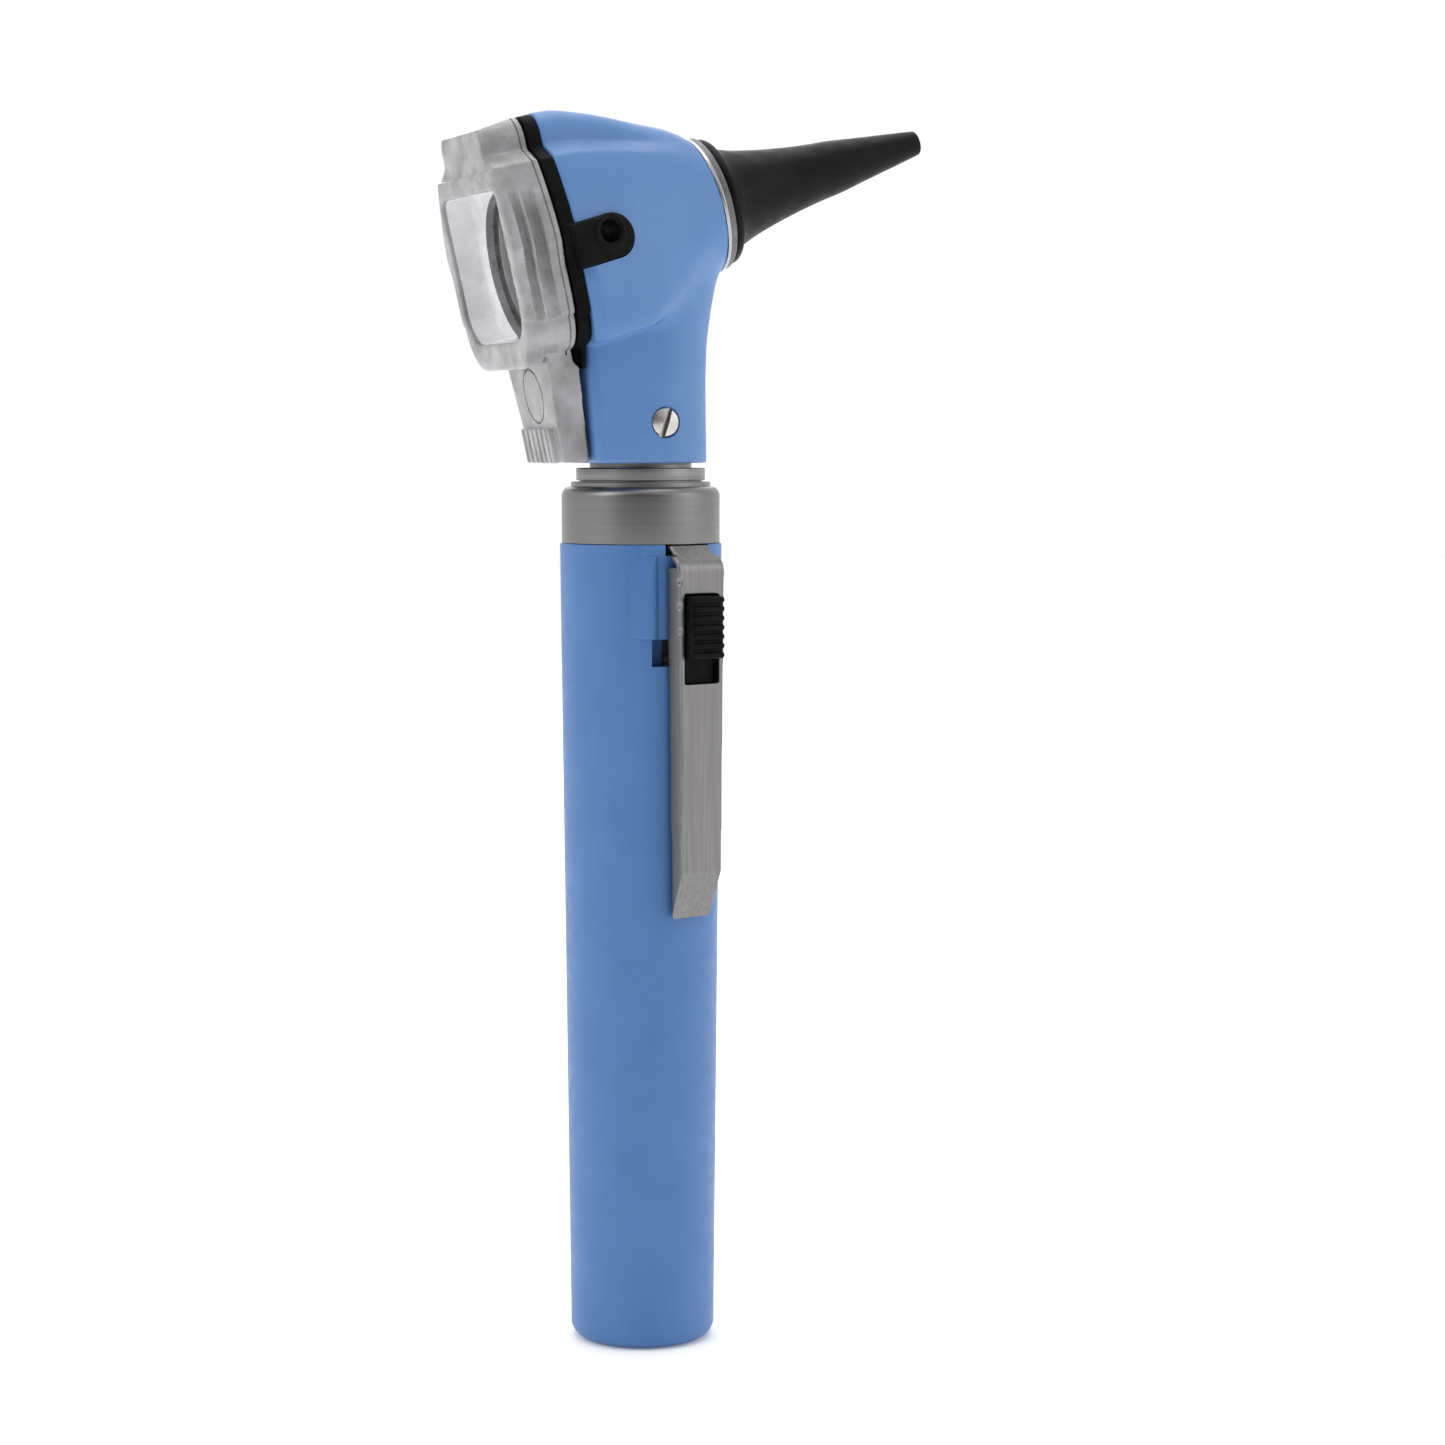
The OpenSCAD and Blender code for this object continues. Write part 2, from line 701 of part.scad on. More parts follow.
// Opening of the raised lens block
module lens_opening() {
    half_w = 11.9;
    low = -10.4;
    high = 9;
    top_r = 1.8;
    corner = 4.5;
    polygon(concat(
        arc(half_w - top_r, high - top_r, top_r, 0, 90),
        arc(top_r - half_w, high - top_r, top_r, 90, 180),
        arc(corner - half_w, low + corner, corner, 180, 270),
        arc(half_w - corner, low + corner, corner, 270, 360)));
}

// Tail of the window down the rear of the neck
module window_tail() {
    tail_top_z = 136;
    tail_low_z = 118;
    intersection() {
        rotate([90, 0, 90]) translate([0, 0, -25]) linear_extrude(20)
            polygon([[-6.4, tail_low_z], [6.4, tail_low_z], [9.6, tail_top_z], [-9.6, tail_top_z]]);
        translate([0, 15, 0]) rotate([90, 0, 0]) linear_extrude(30)
            polygon([[-9.4, tail_low_z], [-13.05, tail_low_z], [-15.4, 129], [-16.8, 135], [-13.3, 135],
                     [-12.8, 132.6], [-12.4, 131], [-11.5, 130.2], [-11.3, 129]]);
    }
}

// Thumb pad at the foot of the tail, with ribs
module thumb_pad() {
    pad_w = 11.6;
    rib_r = 0.35;
    grooves = 5;
    translate([-13.35, 0, 120.3]) rotate([0, -12, 0]) difference() {
        cube([2.2, pad_w, 4.6], center = true);
        for (i = [0 : grooves - 1])
            translate([-1.1, (i - (grooves - 1) / 2) * pad_w / (grooves + 1), 0])
                cylinder(r = rib_r, h = 5, center = true);
    }
}

module window() {
    front = window_front;
    color(clear, 0.6) difference() {
        union() {
            rear_plate(front, window_t) shield(4.5, chamfer_w);
            rear_plate(front + window_t - 2, block_t + 2) intersection() {
                shield(6, chamfer_w, block_low_u);
                translate([-20, -20]) square([40, 31.4]);
            }
            window_tail();
            thumb_pad();
        }
        rear_plate(front + 2.4, window_t + 2) lens_opening();
        // The top of the window slopes down to the rear
        rear_frame() translate([-front, 0, cap_u]) rotate([0, -cap_slope, 0]) translate([-20, -15, 0])
            cube([20, 30, 5]);
        rear_frame() translate([-front - 3, 0, lens_u]) rotate([0, 90, 0]) cylinder(d = lens_d + 0.1, h = 4);
        rear_frame() translate([-front - pin_depth - 0.1, 0, pivot_u]) rotate([0, 90, 0]) {
            cylinder(d = pin_d + 0.14, h = pin_depth + 2);
            cylinder(r = barb_r + 0.08, h = barb_t + 0.2);
        }
    }
}

module magnifier_lens() {
    rise = 0.9;
    r = lens_d / 2;
    ball = (r * r + rise * rise) / (2 * rise);
    color("#8A8C90", 0.6) rear_frame() translate([-window_front - 0.1, 0, lens_u]) rotate([0, -90, 0]) {
        cylinder(d = lens_d, h = 1.3);
        intersection() {
            translate([0, 0, 1.3 + rise - ball]) sphere(ball, $fn = 160);
            translate([0, 0, 1.2]) cylinder(d = lens_d, h = 3);
        }
    }
}

handle_tube();
handle_collar();
return_strip();
battery_spring();
battery_lower();
battery_upper();
clip();
switch_slider();
switch_knob();
switch_contact();
centre_contact();
contact_spring();
contact_insulator();
head_base();
head_shell();
head_screw();
lamp_base();
lamp_pin();
lamp_glass();
light_guide();
nose_cone();
seat_ring();
speculum_seat();
bezel();
window_gasket();
window_pivot();
window();
magnifier_lens();
speculum();
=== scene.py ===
"""Looks of the pocket otoscope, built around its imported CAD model.

Shapes are modelled in millimetres, each in a handy local frame, and finish_piece() moves
them into the model's frame in metres. The optic frame has +X forward along the optical axis
from the seat ring, and +Z on its upper side. The rear frame is the same for the bezel and the
window, from where the axis leaves the shell. The clip frame has +X out of the clip's face.
"""
import json
import math

import bmesh
import bpy
from mathutils import Matrix, Vector


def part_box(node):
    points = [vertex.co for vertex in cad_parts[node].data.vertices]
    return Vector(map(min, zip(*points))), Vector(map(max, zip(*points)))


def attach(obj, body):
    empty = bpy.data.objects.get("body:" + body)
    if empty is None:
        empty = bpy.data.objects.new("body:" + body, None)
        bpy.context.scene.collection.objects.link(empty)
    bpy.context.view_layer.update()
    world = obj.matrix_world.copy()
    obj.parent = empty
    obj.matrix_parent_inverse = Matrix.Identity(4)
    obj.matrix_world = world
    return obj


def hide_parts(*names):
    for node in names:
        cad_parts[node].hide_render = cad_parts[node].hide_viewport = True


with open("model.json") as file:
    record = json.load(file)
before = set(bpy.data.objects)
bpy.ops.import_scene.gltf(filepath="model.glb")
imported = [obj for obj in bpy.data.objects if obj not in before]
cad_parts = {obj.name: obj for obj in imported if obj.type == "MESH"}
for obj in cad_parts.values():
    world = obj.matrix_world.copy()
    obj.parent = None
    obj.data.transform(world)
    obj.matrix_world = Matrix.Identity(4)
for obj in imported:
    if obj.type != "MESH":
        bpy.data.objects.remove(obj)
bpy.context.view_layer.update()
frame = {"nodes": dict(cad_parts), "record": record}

MM = 0.001
RECORD = frame["record"]
JOINTS = {joint["name"]: joint for joint in RECORD["behaviour"]["joints"]}
MOUNTS = {mount["name"]: mount for mount in RECORD["mounts"]}
SLOTS = {part["node"]: part["material_slot"] for part in RECORD["subparts"]}
BODIES = {node: body for body, nodes in RECORD["behaviour"]["bodies"].items() for node in nodes}

# Head, in the optic frame: s is the distance behind the seat ring, u the height over the axis.
# The bezel and the window use the rear frame, where s starts at the rear of the shell.
SHELL_L = 22.4
FRONT_R = 9.15
CAP_W = 8.5
CAP_U = 17.6
CAP_SLOPE = 8
SHIELD_W = 15
SHIELD_LOW = 12.7
SIDE_R = 36.4
SEAT_RING_T = 0.55
BEZEL_T = 1.85
WINDOW_GAP = 0.25
FRONT_S = BEZEL_T + WINDOW_GAP
WINDOW_T = 6.2
RECESS_S = 2.4
BLOCK_T = 0.6
BLOCK_LOW = 14
LENS_R = 10
LENS_U = -1.2
PIVOT_U = 12.5
PIN_BORE_R = 1.3
NECK_R = 8.75
LIP_Z = 130
LIP_W = 17.2
CHAMFER_W = 1.1
CHAMFER_L = 1.4
TAB_H = 5.8
TAB_END = 0.8
TAB_PROUD = 0.1
PORT_S = 17.8
PORT_U = 0.7
PORT_DEPTH = 1.75
WAIST_R = 6.75
TAIL_RING_R = 3.4

# Handle
FOOT_R = 2
BORE_R = 7.5
COLLAR_SEAT_R = 9.2
COLLAR_SEAT_H = 3
COLLAR_EDGE = 1.3
STEP_H = 0.6
SADDLE_Z = 95
SADDLE_H = 10.9
SADDLE_ANGLE = 45
CHANNEL_W = 8
POCKET_W = 10.2
POCKET_Z = 91.4

# Clip and switch, in the clip frame
CLIP_FACE = 13.4
CLIP_T = 0.7
SLIDER_FACE = CLIP_FACE - CLIP_T - 0.15
SLIDER_T = 1
CLIP_TOP_W = 7.4
CLIP_LOW_W = 6.2
CLIP_BEND = 2
CLIP_BEND_Z = 103.9
CLIP_LEAN = 50
FLANGE_TOP = 104.4
STRAP_W = 6.2
NOTCH_HALF = STRAP_W / 2 + 0.4
CLIP_OPEN = 10.85
CLIP_TOE = 6.4
SLOT_W = 5.66
SLOT_H = 11.8
SLOT_TOP = 101
KNOB_W = 5.2
KNOB_H = 8.4
KNOB_PROUD = 1.6
RIBS = 7


# ---- Places, read from the frame ----

def low(node):
    return Vector(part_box(node)[0]) / MM


def high(node):
    return Vector(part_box(node)[1]) / MM


def axes(origin, x, y):
    """Matrix of the frame at origin whose +X and +Y point along x and y."""
    x = Vector(x).normalized()
    z = x.cross(Vector(y)).normalized()
    y = z.cross(x)
    matrix = Matrix((x, y, z)).transposed().to_4x4()
    matrix.translation = origin
    return matrix


HERE = Matrix.Identity(4)
TURN_X = Matrix.Rotation(math.radians(90), 4, "Y")
TURN_BACK = Matrix.Rotation(math.radians(-90), 4, "Y")

optic_axis = Vector(JOINTS["speculum_pull"]["axis"]).normalized()
ring_centre = (low("seat_ring") + high("seat_ring")) / 2 - optic_axis * SEAT_RING_T / 2
OPTIC = axes(ring_centre, optic_axis, (0, 1, 0))
rear_axis = Vector(JOINTS["window_swivel"]["axis"]).normalized()
REAR = axes(ring_centre - optic_axis * SHELL_L, rear_axis, (0, 1, 0))
REAR_LEAN = optic_axis.angle(rear_axis)

flex_axis = JOINTS["clip_flex"]["axis"]
CLIP = Matrix.Rotation(math.atan2(flex_axis[0], -flex_axis[1]), 4, "Z")

port_axis = Vector(MOUNTS["insufflation_port"]["axis"]).normalized()
port_face = Vector(MOUNTS["insufflation_port"]["pos_m"]) / MM + port_axis * PORT_DEPTH
port_up = OPTIC.to_3x3() @ Vector((0, 0, 1))
PORT = axes(port_face, port_up.cross(port_axis), port_up)

screw_centre = (low("head_screw") + high("head_screw")) / 2
screw_out = Vector((screw_centre.x, screw_centre.y, 0)).normalized()
SCREW = axes(Vector((0, 0, screw_centre.z)), Vector((0, 0, -1)), screw_out.cross((0, 0, -1)))

tube_h = high("handle_tube").z
collar_top = high("handle_collar").z
neck_z = low("head_shell").z
notch_z = high("clip").z - 1.3


# ---- Outlines ----

def rectangle(x0, y0, x1, y1):
    return [(x0, y0), (x1, y0), (x1, y1), (x0, y1)]


def arc(cx, cy, r, start, end, step=5):
    """Points of an arc, angles in degrees."""
    count = max(2, math.ceil(abs(end - start) / step))
    angles = [math.radians(start + (end - start) * i / count) for i in range(count + 1)]
    return [(cx + r * math.cos(a), cy + r * math.sin(a)) for a in angles]


def rounded(points, step=12):
    """Turns a closed outline of (x, y, corner radius) into plain points."""
    result = []
    for i, (x, y, r) in enumerate(points):
        here = Vector((x, y))
        before = (Vector(points[i - 1][:2]) - here).normalized()
        after = (Vector(points[(i + 1) % len(points)][:2]) - here).normalized()
        half = before.angle(after) / 2
        if r == 0 or half > math.radians(89):
            result.append((x, y))
            continue
        centre = here + (before + after).normalized() * (r / math.sin(half))
        first = here + before * (r / math.tan(half)) - centre
        last = here + after * (r / math.tan(half)) - centre
        sweep = first.angle_signed(last)
        count = max(1, math.ceil(abs(math.degrees(sweep)) / step))
        for k in range(count + 1):
            turned = first.copy()
            turned.rotate(Matrix.Rotation(-sweep * k / count, 2))
            result.append(tuple(centre + turned))
    return result


def through(knots, count):
    """Smooth curve through knots (Catmull-Rom), count points in each stretch."""
    ends = [knots[0], *knots, knots[-1]]
    result = []
    for a, b, c, d in zip(ends, ends[1:], ends[2:], ends[3:]):
        for k in range(count):
            t = k / count
            result.append(tuple(
                0.5 * (2 * q + (r - p) * t + (2 * p - 5 * q + 4 * r - s) * t * t
                       + (3 * q - p - 3 * r + s) * t ** 3)
                for p, q, r, s in zip(a, b, c, d)))
    return [*result, tuple(knots[-1])]


def value_at(table, x):
    """Value at x of a table of (x, value) in rising order of x, straight between its rows."""
    for (x0, y0), (x1, y1) in zip(table, table[1:]):
        if x <= x1:
            return y0 + (y1 - y0) * max(0, (x - x0) / (x1 - x0))
    return table[-1][1]


def smoothstep(t):
    t = min(1, max(0, t))
    return t * t * (3 - 2 * t)


def mirrored(half):
    """Whole outline from its right half, which runs from the top centre to the bottom centre."""
    return half + [(-x, y) for x, y in half[-2:0:-1]]


def even(outline, count):
    """The closed outline again, as count points at even distances."""
    points = [Vector(p) for p in outline]
    steps = [(b - a).length for a, b in zip(points, points[1:] + points[:1])]
    total = sum(steps)
    result, i, walked = [], 0, 0
    for k in range(count):
        target = total * k / count
        while walked + steps[i] < target:
            walked += steps[i]
            i += 1
        a, b = points[i], points[(i + 1) % len(points)]
        result.append(tuple(a + (b - a) * ((target - walked) / steps[i])))
    return result


def inset(outline, amount):
    """The closed outline moved inwards, or outwards where amount is negative."""
    points = [Vector(p) for p in outline]
    area = sum(a.cross(b) for a, b in zip(points, points[1:] + points[:1]))
    side = 1 if area > 0 else -1
    result = []
    for i, here in enumerate(points):
        d0 = (here - points[i - 1]).normalized()
        d1 = (points[(i + 1) % len(points)] - here).normalized()
        n0 = Vector((-d0.y, d0.x)) * side
        n1 = Vector((-d1.y, d1.x)) * side
        mitre = n0 + n1
        mitre = mitre / max(0.5, mitre.dot(mitre) / 2)
        result.append(tuple(here + mitre * amount))
    return result


def shield(corner_r, narrower=0.0, bottom=SHIELD_LOW):
    """Outline of the head's rear, as (y, u) from the top centre down the right side and round."""
    cap_r, cap_foot, widest_u, side_top, tuck = 3, 13.3, -4, 25.5, 0.95
    drop = math.degrees(math.asin((bottom - corner_r + widest_u) / SIDE_R))
    half = [(0, CAP_U)]
    half += arc(CAP_W - cap_r, CAP_U - cap_r, cap_r, 90, 12)
    half += [(CAP_W, cap_foot)]
    half += arc(SHIELD_W - SIDE_R, widest_u, SIDE_R, side_top, -drop, 2.5)
    half += arc(SHIELD_W - tuck - corner_r, corner_r - bottom, corner_r, 0, -90)
    half += [(0, -bottom)]
    half = [(y * (1 - narrower / SHIELD_W * smoothstep((2 - u) / 4)), u) for y, u in half]
    return mirrored(half)


def lens_opening():
    """Outline of the window's lens recess."""
    half_w, bottom, top = 11.9, -10.4, 9
    half = arc(half_w - 1.8, top - 1.8, 1.8, 90, 0) + arc(half_w - 4.5, bottom + 4.5, 4.5, 0, -90)
    return mirrored([(0, top)] + half + [(0, bottom)])


# ---- Solids, in millimetres ----

def solid(verts, faces):
    mesh = bpy.data.meshes.new("solid")
    mesh.from_pydata([tuple(v) for v in verts], [], faces)
    bm = bmesh.new()
    bm.from_mesh(mesh)
    bmesh.ops.remove_doubles(bm, verts=bm.verts, dist=1e-5)
    bmesh.ops.recalc_face_normals(bm, faces=bm.faces)
    bm.to_mesh(mesh)
    bm.free()
    obj = bpy.data.objects.new("solid", mesh)
    bpy.context.scene.collection.objects.link(obj)
    return obj


def rings(sections):
    """Closed solid through sections, which are lists of as many 3-D points each."""
    count = len(sections[0])
    verts = [p for section in sections for p in section]
    faces = []
    for k in range(len(sections) - 1):
        for i in range(count):
            j = (i + 1) % count
            faces.append((k * count + i, k * count + j, (k + 1) * count + j, (k + 1) * count + i))
    faces.append(tuple(range(count)))
    faces.append(tuple(range((len(sections) - 1) * count, len(sections) * count)))
    return solid(verts, faces)


def lathe(outline, segments=144):
    """Solid of revolution about Z of a closed outline of (radius, height)."""
    verts, faces = [], []
    for k in range(segments):
        a = 2 * math.pi * k / segments
        verts += [(r * math.cos(a), r * math.sin(a), z) for r, z in outline]
    count = len(outline)
    for k in range(segments):
        n = (k + 1) % segments
        for i in range(count):
            j = (i + 1) % count
            if outline[i][0] < 1e-6 and outline[j][0] < 1e-6:
                continue
            quad = (k * count + i, n * count + i, n * count + j, k * count + j)
            if outline[i][0] < 1e-6:
                quad = (quad[0], quad[2], quad[3])
            elif outline[j][0] < 1e-6:
                quad = quad[:3]
            faces.append(quad)
    return solid(verts, faces)


def prism(outline, z0, z1, edge=0.0):
    """Outline raised from z0 to z1 along Z, with its end edges rounded by edge."""
    levels = [(z0, 0), (z1, 0)]
    if edge:
        steps = 4
        quarter = [math.pi / 2 * k / steps for k in range(steps + 1)]
        rise = [(edge * (1 - math.sin(a)), edge * (1 - math.cos(a))) for a in quarter]
        levels = [(z0 + up, amount) for up, amount in reversed(rise)]
        levels += [(z1 - up, amount) for up, amount in rise]
    return rings([[(x, y, z) for x, y in inset(outline, amount)] for z, amount in levels])


def facing_out(outline, x0, x1, edge=0.0):
    """Prism along X of an outline (y, z)."""
    turn = Matrix(((0, 0, 1, 0), (1, 0, 0, 0), (0, 1, 0, 0), (0, 0, 0, 1)))
    return moved(prism(outline, x0, x1, edge), turn)


def plate(outline, s, t, edge=0.0):
    """Prism of an outline (y, u), from s behind the origin of its frame to t deeper."""
    return facing_out(outline, -s - t, -s, edge)


def upright(outline, half_w, edge=0.0):
    """Prism of an outline (x, z) across y, half_w to each side."""
    turn = Matrix(((1, 0, 0, 0), (0, 0, -1, 0), (0, 1, 0, 0), (0, 0, 0, 1)))
    return moved(prism(outline, -half_w, half_w, edge), turn)


def rod(r, z0, z1, edge=0.0, segments=96):
    return lathe(rounded([(0, z0, 0), (r, z0, edge), (r, z1, edge), (0, z1, 0)]), segments)


def wire(path, r, sides):
    """Round wire of radius r along a path of (centre, direction across, direction up)."""
    around = [2 * math.pi * i / sides for i in range(sides)]
    return rings([[centre + (across * math.cos(b) + up * math.sin(b)) * r for b in around]
                  for centre, across, up in path])


def moved(obj, matrix):
    obj.data.transform(matrix)
    if matrix.determinant() < 0:
        obj.data.flip_normals()
    return obj


def at(x, y, z):
    return Matrix.Translation((x, y, z))


def apply_modifiers(obj):
    graph = bpy.context.evaluated_depsgraph_get()
    mesh = bpy.data.meshes.new_from_object(obj.evaluated_get(graph))
    obj.modifiers.clear()
    obj.data = mesh
    return obj


def combine(obj, tools, operation):
    for tool in tools:
        boolean = obj.modifiers.new("combine", "BOOLEAN")
        boolean.operation = operation
        boolean.solver = "EXACT"
        boolean.object = tool
        apply_modifiers(obj)
        bpy.data.objects.remove(tool)
    return obj


def joined(obj, *tools):
    return combine(obj, tools, "UNION")


def cut(obj, *tools):
    return combine(obj, tools, "DIFFERENCE")


def moulded(obj, voxel, passes):
    """Remeshes the solid and rounds its edges a little, as a mould or a die leaves them."""
    remesh = obj.modifiers.new("remesh", "REMESH")
    remesh.mode = "VOXEL"
    remesh.voxel_size = voxel
    smooth = obj.modifiers.new("smooth", "SMOOTH")
    smooth.factor = 0.5
    smooth.iterations = passes
    return apply_modifiers(obj)


def soften(obj, weight, passes):
    """Smooths the mesh where weight(vertex) is over zero."""
    group = obj.vertex_groups.new(name="soft")
    for vertex in obj.data.vertices:
        amount = weight(vertex.co)
        if amount > 0:
            group.add([vertex.index], amount, "REPLACE")
    smooth = obj.modifiers.new("soften", "SMOOTH")
    smooth.vertex_group = "soft"
    smooth.factor = 0.5
    smooth.iterations = passes
    apply_modifiers(obj)
    obj.vertex_groups.clear()
    return obj


def paint(obj, place, material, test):
    """Gives another material to the faces whose centre, in the frame of place, passes the test."""
    into_place = place.inverted() @ Matrix.Scale(1 / MM, 4)
    obj.data.materials.append(material)
    for face in obj.data.polygons:
        if test(into_place @ face.center):
            face.material_index = len(obj.data.materials) - 1


def finish_piece(obj, name, place, material, node, sharp=35):
    """Moves a solid into the model's frame, in metres, where it replaces a node's CAD shape."""
    obj.data.transform(Matrix.Scale(MM, 4) @ place)
    obj.name = obj.data.name = name
    obj.data.materials.clear()
    obj.data.materials.append(material)
    obj.data.polygons.foreach_set("use_smooth", [True] * len(obj.data.polygons))
    obj.data.set_sharp_from_angle(angle=math.radians(sharp))
    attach(obj, BODIES[node])
    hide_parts(node)
    return obj


# ---- Materials ----

class Finish:
    """A material whose colour, gloss and relief come from procedural noise."""

    def __init__(self, name, colour, roughness, **sockets):
        self.material = bpy.data.materials.new(name)
        self.material.use_nodes = True
        self.nodes = self.material.node_tree.nodes
        self.links = self.material.node_tree.links
        self.shader = self.nodes["Principled BSDF"]
        self.shader.inputs["Base Color"].default_value = (*colour, 1)
        self.shader.inputs["Roughness"].default_value = roughness
        for socket, value in sockets.items():
            self.shader.inputs[socket.replace("_", " ")].default_value = value

    def noise(self, per_mm, detail=3.0):
        """Noise with per_mm = (x, y, z) features in each millimetre."""
        place = self.nodes.new("ShaderNodeTexCoord")
        mapping = self.nodes.new("ShaderNodeMapping")
        mapping.inputs["Scale"].default_value = [n / MM for n in per_mm]
        noise = self.nodes.new("ShaderNodeTexNoise")
        noise.inputs["Scale"].default_value = 1
        noise.inputs["Detail"].default_value = detail
        self.links.new(place.outputs["Object"], mapping.inputs["Vector"])
        self.links.new(mapping.outputs["Vector"], noise.inputs["Vector"])
        return noise.outputs["Fac"]

    def ramp(self, value, low_at, high_at, low_value, high_value):
        span = self.nodes.new("ShaderNodeMapRange")
        for socket, number in zip(("From Min", "From Max", "To Min", "To Max"),
                                  (low_at, high_at, low_value, high_value)):
            span.inputs[socket].default_value = number
        self.links.new(value, span.inputs["Value"])
        return span.outputs["Result"]

    def mottle(self, first, second, per_mm, detail=3.0):
        """Colour that drifts between first and second."""
        mix = self.nodes.new("ShaderNodeMix")
        mix.data_type = "RGBA"
        mix.inputs["A"].default_value = (*first, 1)
        mix.inputs["B"].default_value = (*second, 1)
        self.links.new(self.ramp(self.noise(per_mm, detail), 0.35, 0.65, 0, 1),
                       mix.inputs["Factor"])
        self.links.new(mix.outputs["Result"], self.shader.inputs["Base Color"])
        return self

    def gloss(self, low_value, high_value, per_mm):
        """Roughness that drifts between the two values."""
        drift = self.ramp(self.noise(per_mm), 0.3, 0.7, low_value, high_value)
        self.links.new(drift, self.shader.inputs["Roughness"])
        return self

    def relief(self, depth_mm, per_mm):
        """Fine relief of a depth in millimetres."""
        bump = self.nodes.new("ShaderNodeBump")
        bump.inputs["Strength"].default_value = 1.0
        bump.inputs["Distance"].default_value = depth_mm * MM
        self.links.new(self.noise(per_mm, 2.0), bump.inputs["Height"])
        self.links.new(bump.outputs["Normal"], self.shader.inputs["Normal"])
        return self


def same(n):
    return (n, n, n)


handle_plastic = Finish("handle_plastic", (0.054, 0.158, 0.390), 0.42).mottle(
    (0.050, 0.151, 0.377), (0.058, 0.165, 0.403), same(0.12)).gloss(
    0.38, 0.50, same(0.5)).relief(0.012, same(4.0)).material
head_plastic = Finish("head_plastic", (0.084, 0.202, 0.450), 0.42).mottle(
    (0.078, 0.192, 0.435), (0.090, 0.212, 0.465), same(0.12)).gloss(
    0.38, 0.50, same(0.5)).relief(0.012, same(4.0)).material
black_plastic = Finish("black_plastic", (0.003, 0.003, 0.003), 0.55,
                       Specular_IOR_Level=0.08).mottle(
    (0.002, 0.002, 0.002), (0.004, 0.004, 0.004), same(0.3)).gloss(
    0.48, 0.64, same(0.8)).relief(0.02, same(5.0)).material
speculum_plastic = Finish("speculum_plastic", (0.003, 0.003, 0.003), 0.45,
                          Specular_IOR_Level=0.14).mottle(
    (0.002, 0.002, 0.002), (0.004, 0.004, 0.004), same(0.3)).gloss(
    0.4, 0.54, same(0.5)).relief(0.01, same(3.0)).material
satin_metal = Finish("satin_metal", (0.205, 0.20, 0.20), 0.34, Metallic=1).mottle(
    (0.185, 0.18, 0.18), (0.225, 0.22, 0.215), (2.5, 2.5, 0.08)).gloss(
    0.30, 0.42, (2.0, 2.0, 0.06)).relief(0.006, (9.0, 9.0, 0.25)).material
turned_metal = Finish("turned_metal", (0.205, 0.20, 0.20), 0.3, Metallic=1).mottle(
    (0.197, 0.193, 0.193), (0.213, 0.207, 0.207), (0.06, 0.06, 3.0)).gloss(
    0.31, 0.37, (0.05, 0.05, 2.5)).relief(0.002, (0.15, 0.15, 9.0)).material
dark_metal = Finish("dark_metal", (0.24, 0.235, 0.235), 0.36, Metallic=1).mottle(
    (0.21, 0.205, 0.205), (0.27, 0.265, 0.26), (0.06, 0.06, 3.0)).gloss(
    0.30, 0.44, (0.05, 0.05, 2.5)).relief(0.006, (0.15, 0.15, 9.0)).material
bright_metal = Finish("bright_metal", (0.42, 0.42, 0.43), 0.25, Metallic=1).gloss(
    0.20, 0.32, same(0.8)).relief(0.002, same(2.0)).material
grey_metal = Finish("grey_metal", (0.16, 0.16, 0.165), 0.5, Metallic=0.7).mottle(
    (0.14, 0.14, 0.145), (0.18, 0.18, 0.185), same(0.6)).gloss(
    0.42, 0.58, same(1.0)).relief(0.006, same(4.0)).material
spring_steel = Finish("spring_steel", (0.55, 0.55, 0.54), 0.25, Metallic=1).gloss(
    0.2, 0.34, same(2.0)).relief(0.003, same(6.0)).material
brass = Finish("brass", (0.62, 0.43, 0.18), 0.3, Metallic=1).mottle(
    (0.58, 0.40, 0.16), (0.66, 0.47, 0.21), same(0.5)).gloss(
    0.22, 0.38, same(1.5)).relief(0.004, same(5.0)).material
cell_jacket = Finish("cell_jacket", (0.05, 0.055, 0.06), 0.3, Coat_Weight=0.4).mottle(
    (0.045, 0.05, 0.055), (0.06, 0.065, 0.07), (0.3, 0.3, 0.02)).gloss(
    0.24, 0.36, same(0.6)).relief(0.004, same(2.0)).material
insulator = Finish("insulator", (0.65, 0.62, 0.55), 0.55).mottle(
    (0.62, 0.59, 0.52), (0.68, 0.65, 0.58), same(0.6)).gloss(
    0.48, 0.62, same(1.0)).relief(0.01, same(4.0)).material
rubber = Finish("rubber", (0.02, 0.02, 0.021), 0.7).mottle(
    (0.018, 0.018, 0.019), (0.024, 0.024, 0.025), same(1.0)).gloss(
    0.6, 0.8, same(1.5)).relief(0.01, same(5.0)).material
# Painted refraction: the clear window is given a grey tone with broad darker and lighter patches,
# standing in for light and shade seen through the plastic.
clear_acrylic = Finish("clear_acrylic", (0.36, 0.36, 0.37), 0.3, Transmission_Weight=0.25,
                       IOR=1.49).mottle(
    (0.26, 0.255, 0.26), (0.46, 0.46, 0.48), same(0.25), 4.0).gloss(
    0.2, 0.4, same(0.4)).relief(0.04, same(0.5)).material
# Painted light: a lighter copy of the window's acrylic that also glows, given to the lens recess as
# a painted highlight.
recess_painted_glow = Finish("recess_painted_glow", (0.6, 0.6, 0.62), 0.3, Emission_Strength=0.14).mottle(
    (0.52, 0.52, 0.54), (0.68, 0.68, 0.70), same(0.25), 4.0).gloss(
    0.2, 0.4, same(0.4)).relief(0.04, same(0.5)).material
lens_glass = Finish("lens_glass", (0.80, 0.80, 0.83), 0.02, Transmission_Weight=1, IOR=1.52).gloss(
    0.01, 0.05, same(0.3)).material
lamp_glass = Finish("lamp_glass", (0.95, 0.97, 0.98), 0.03, Transmission_Weight=1, IOR=1.47).gloss(
    0.02, 0.06, same(0.5)).material
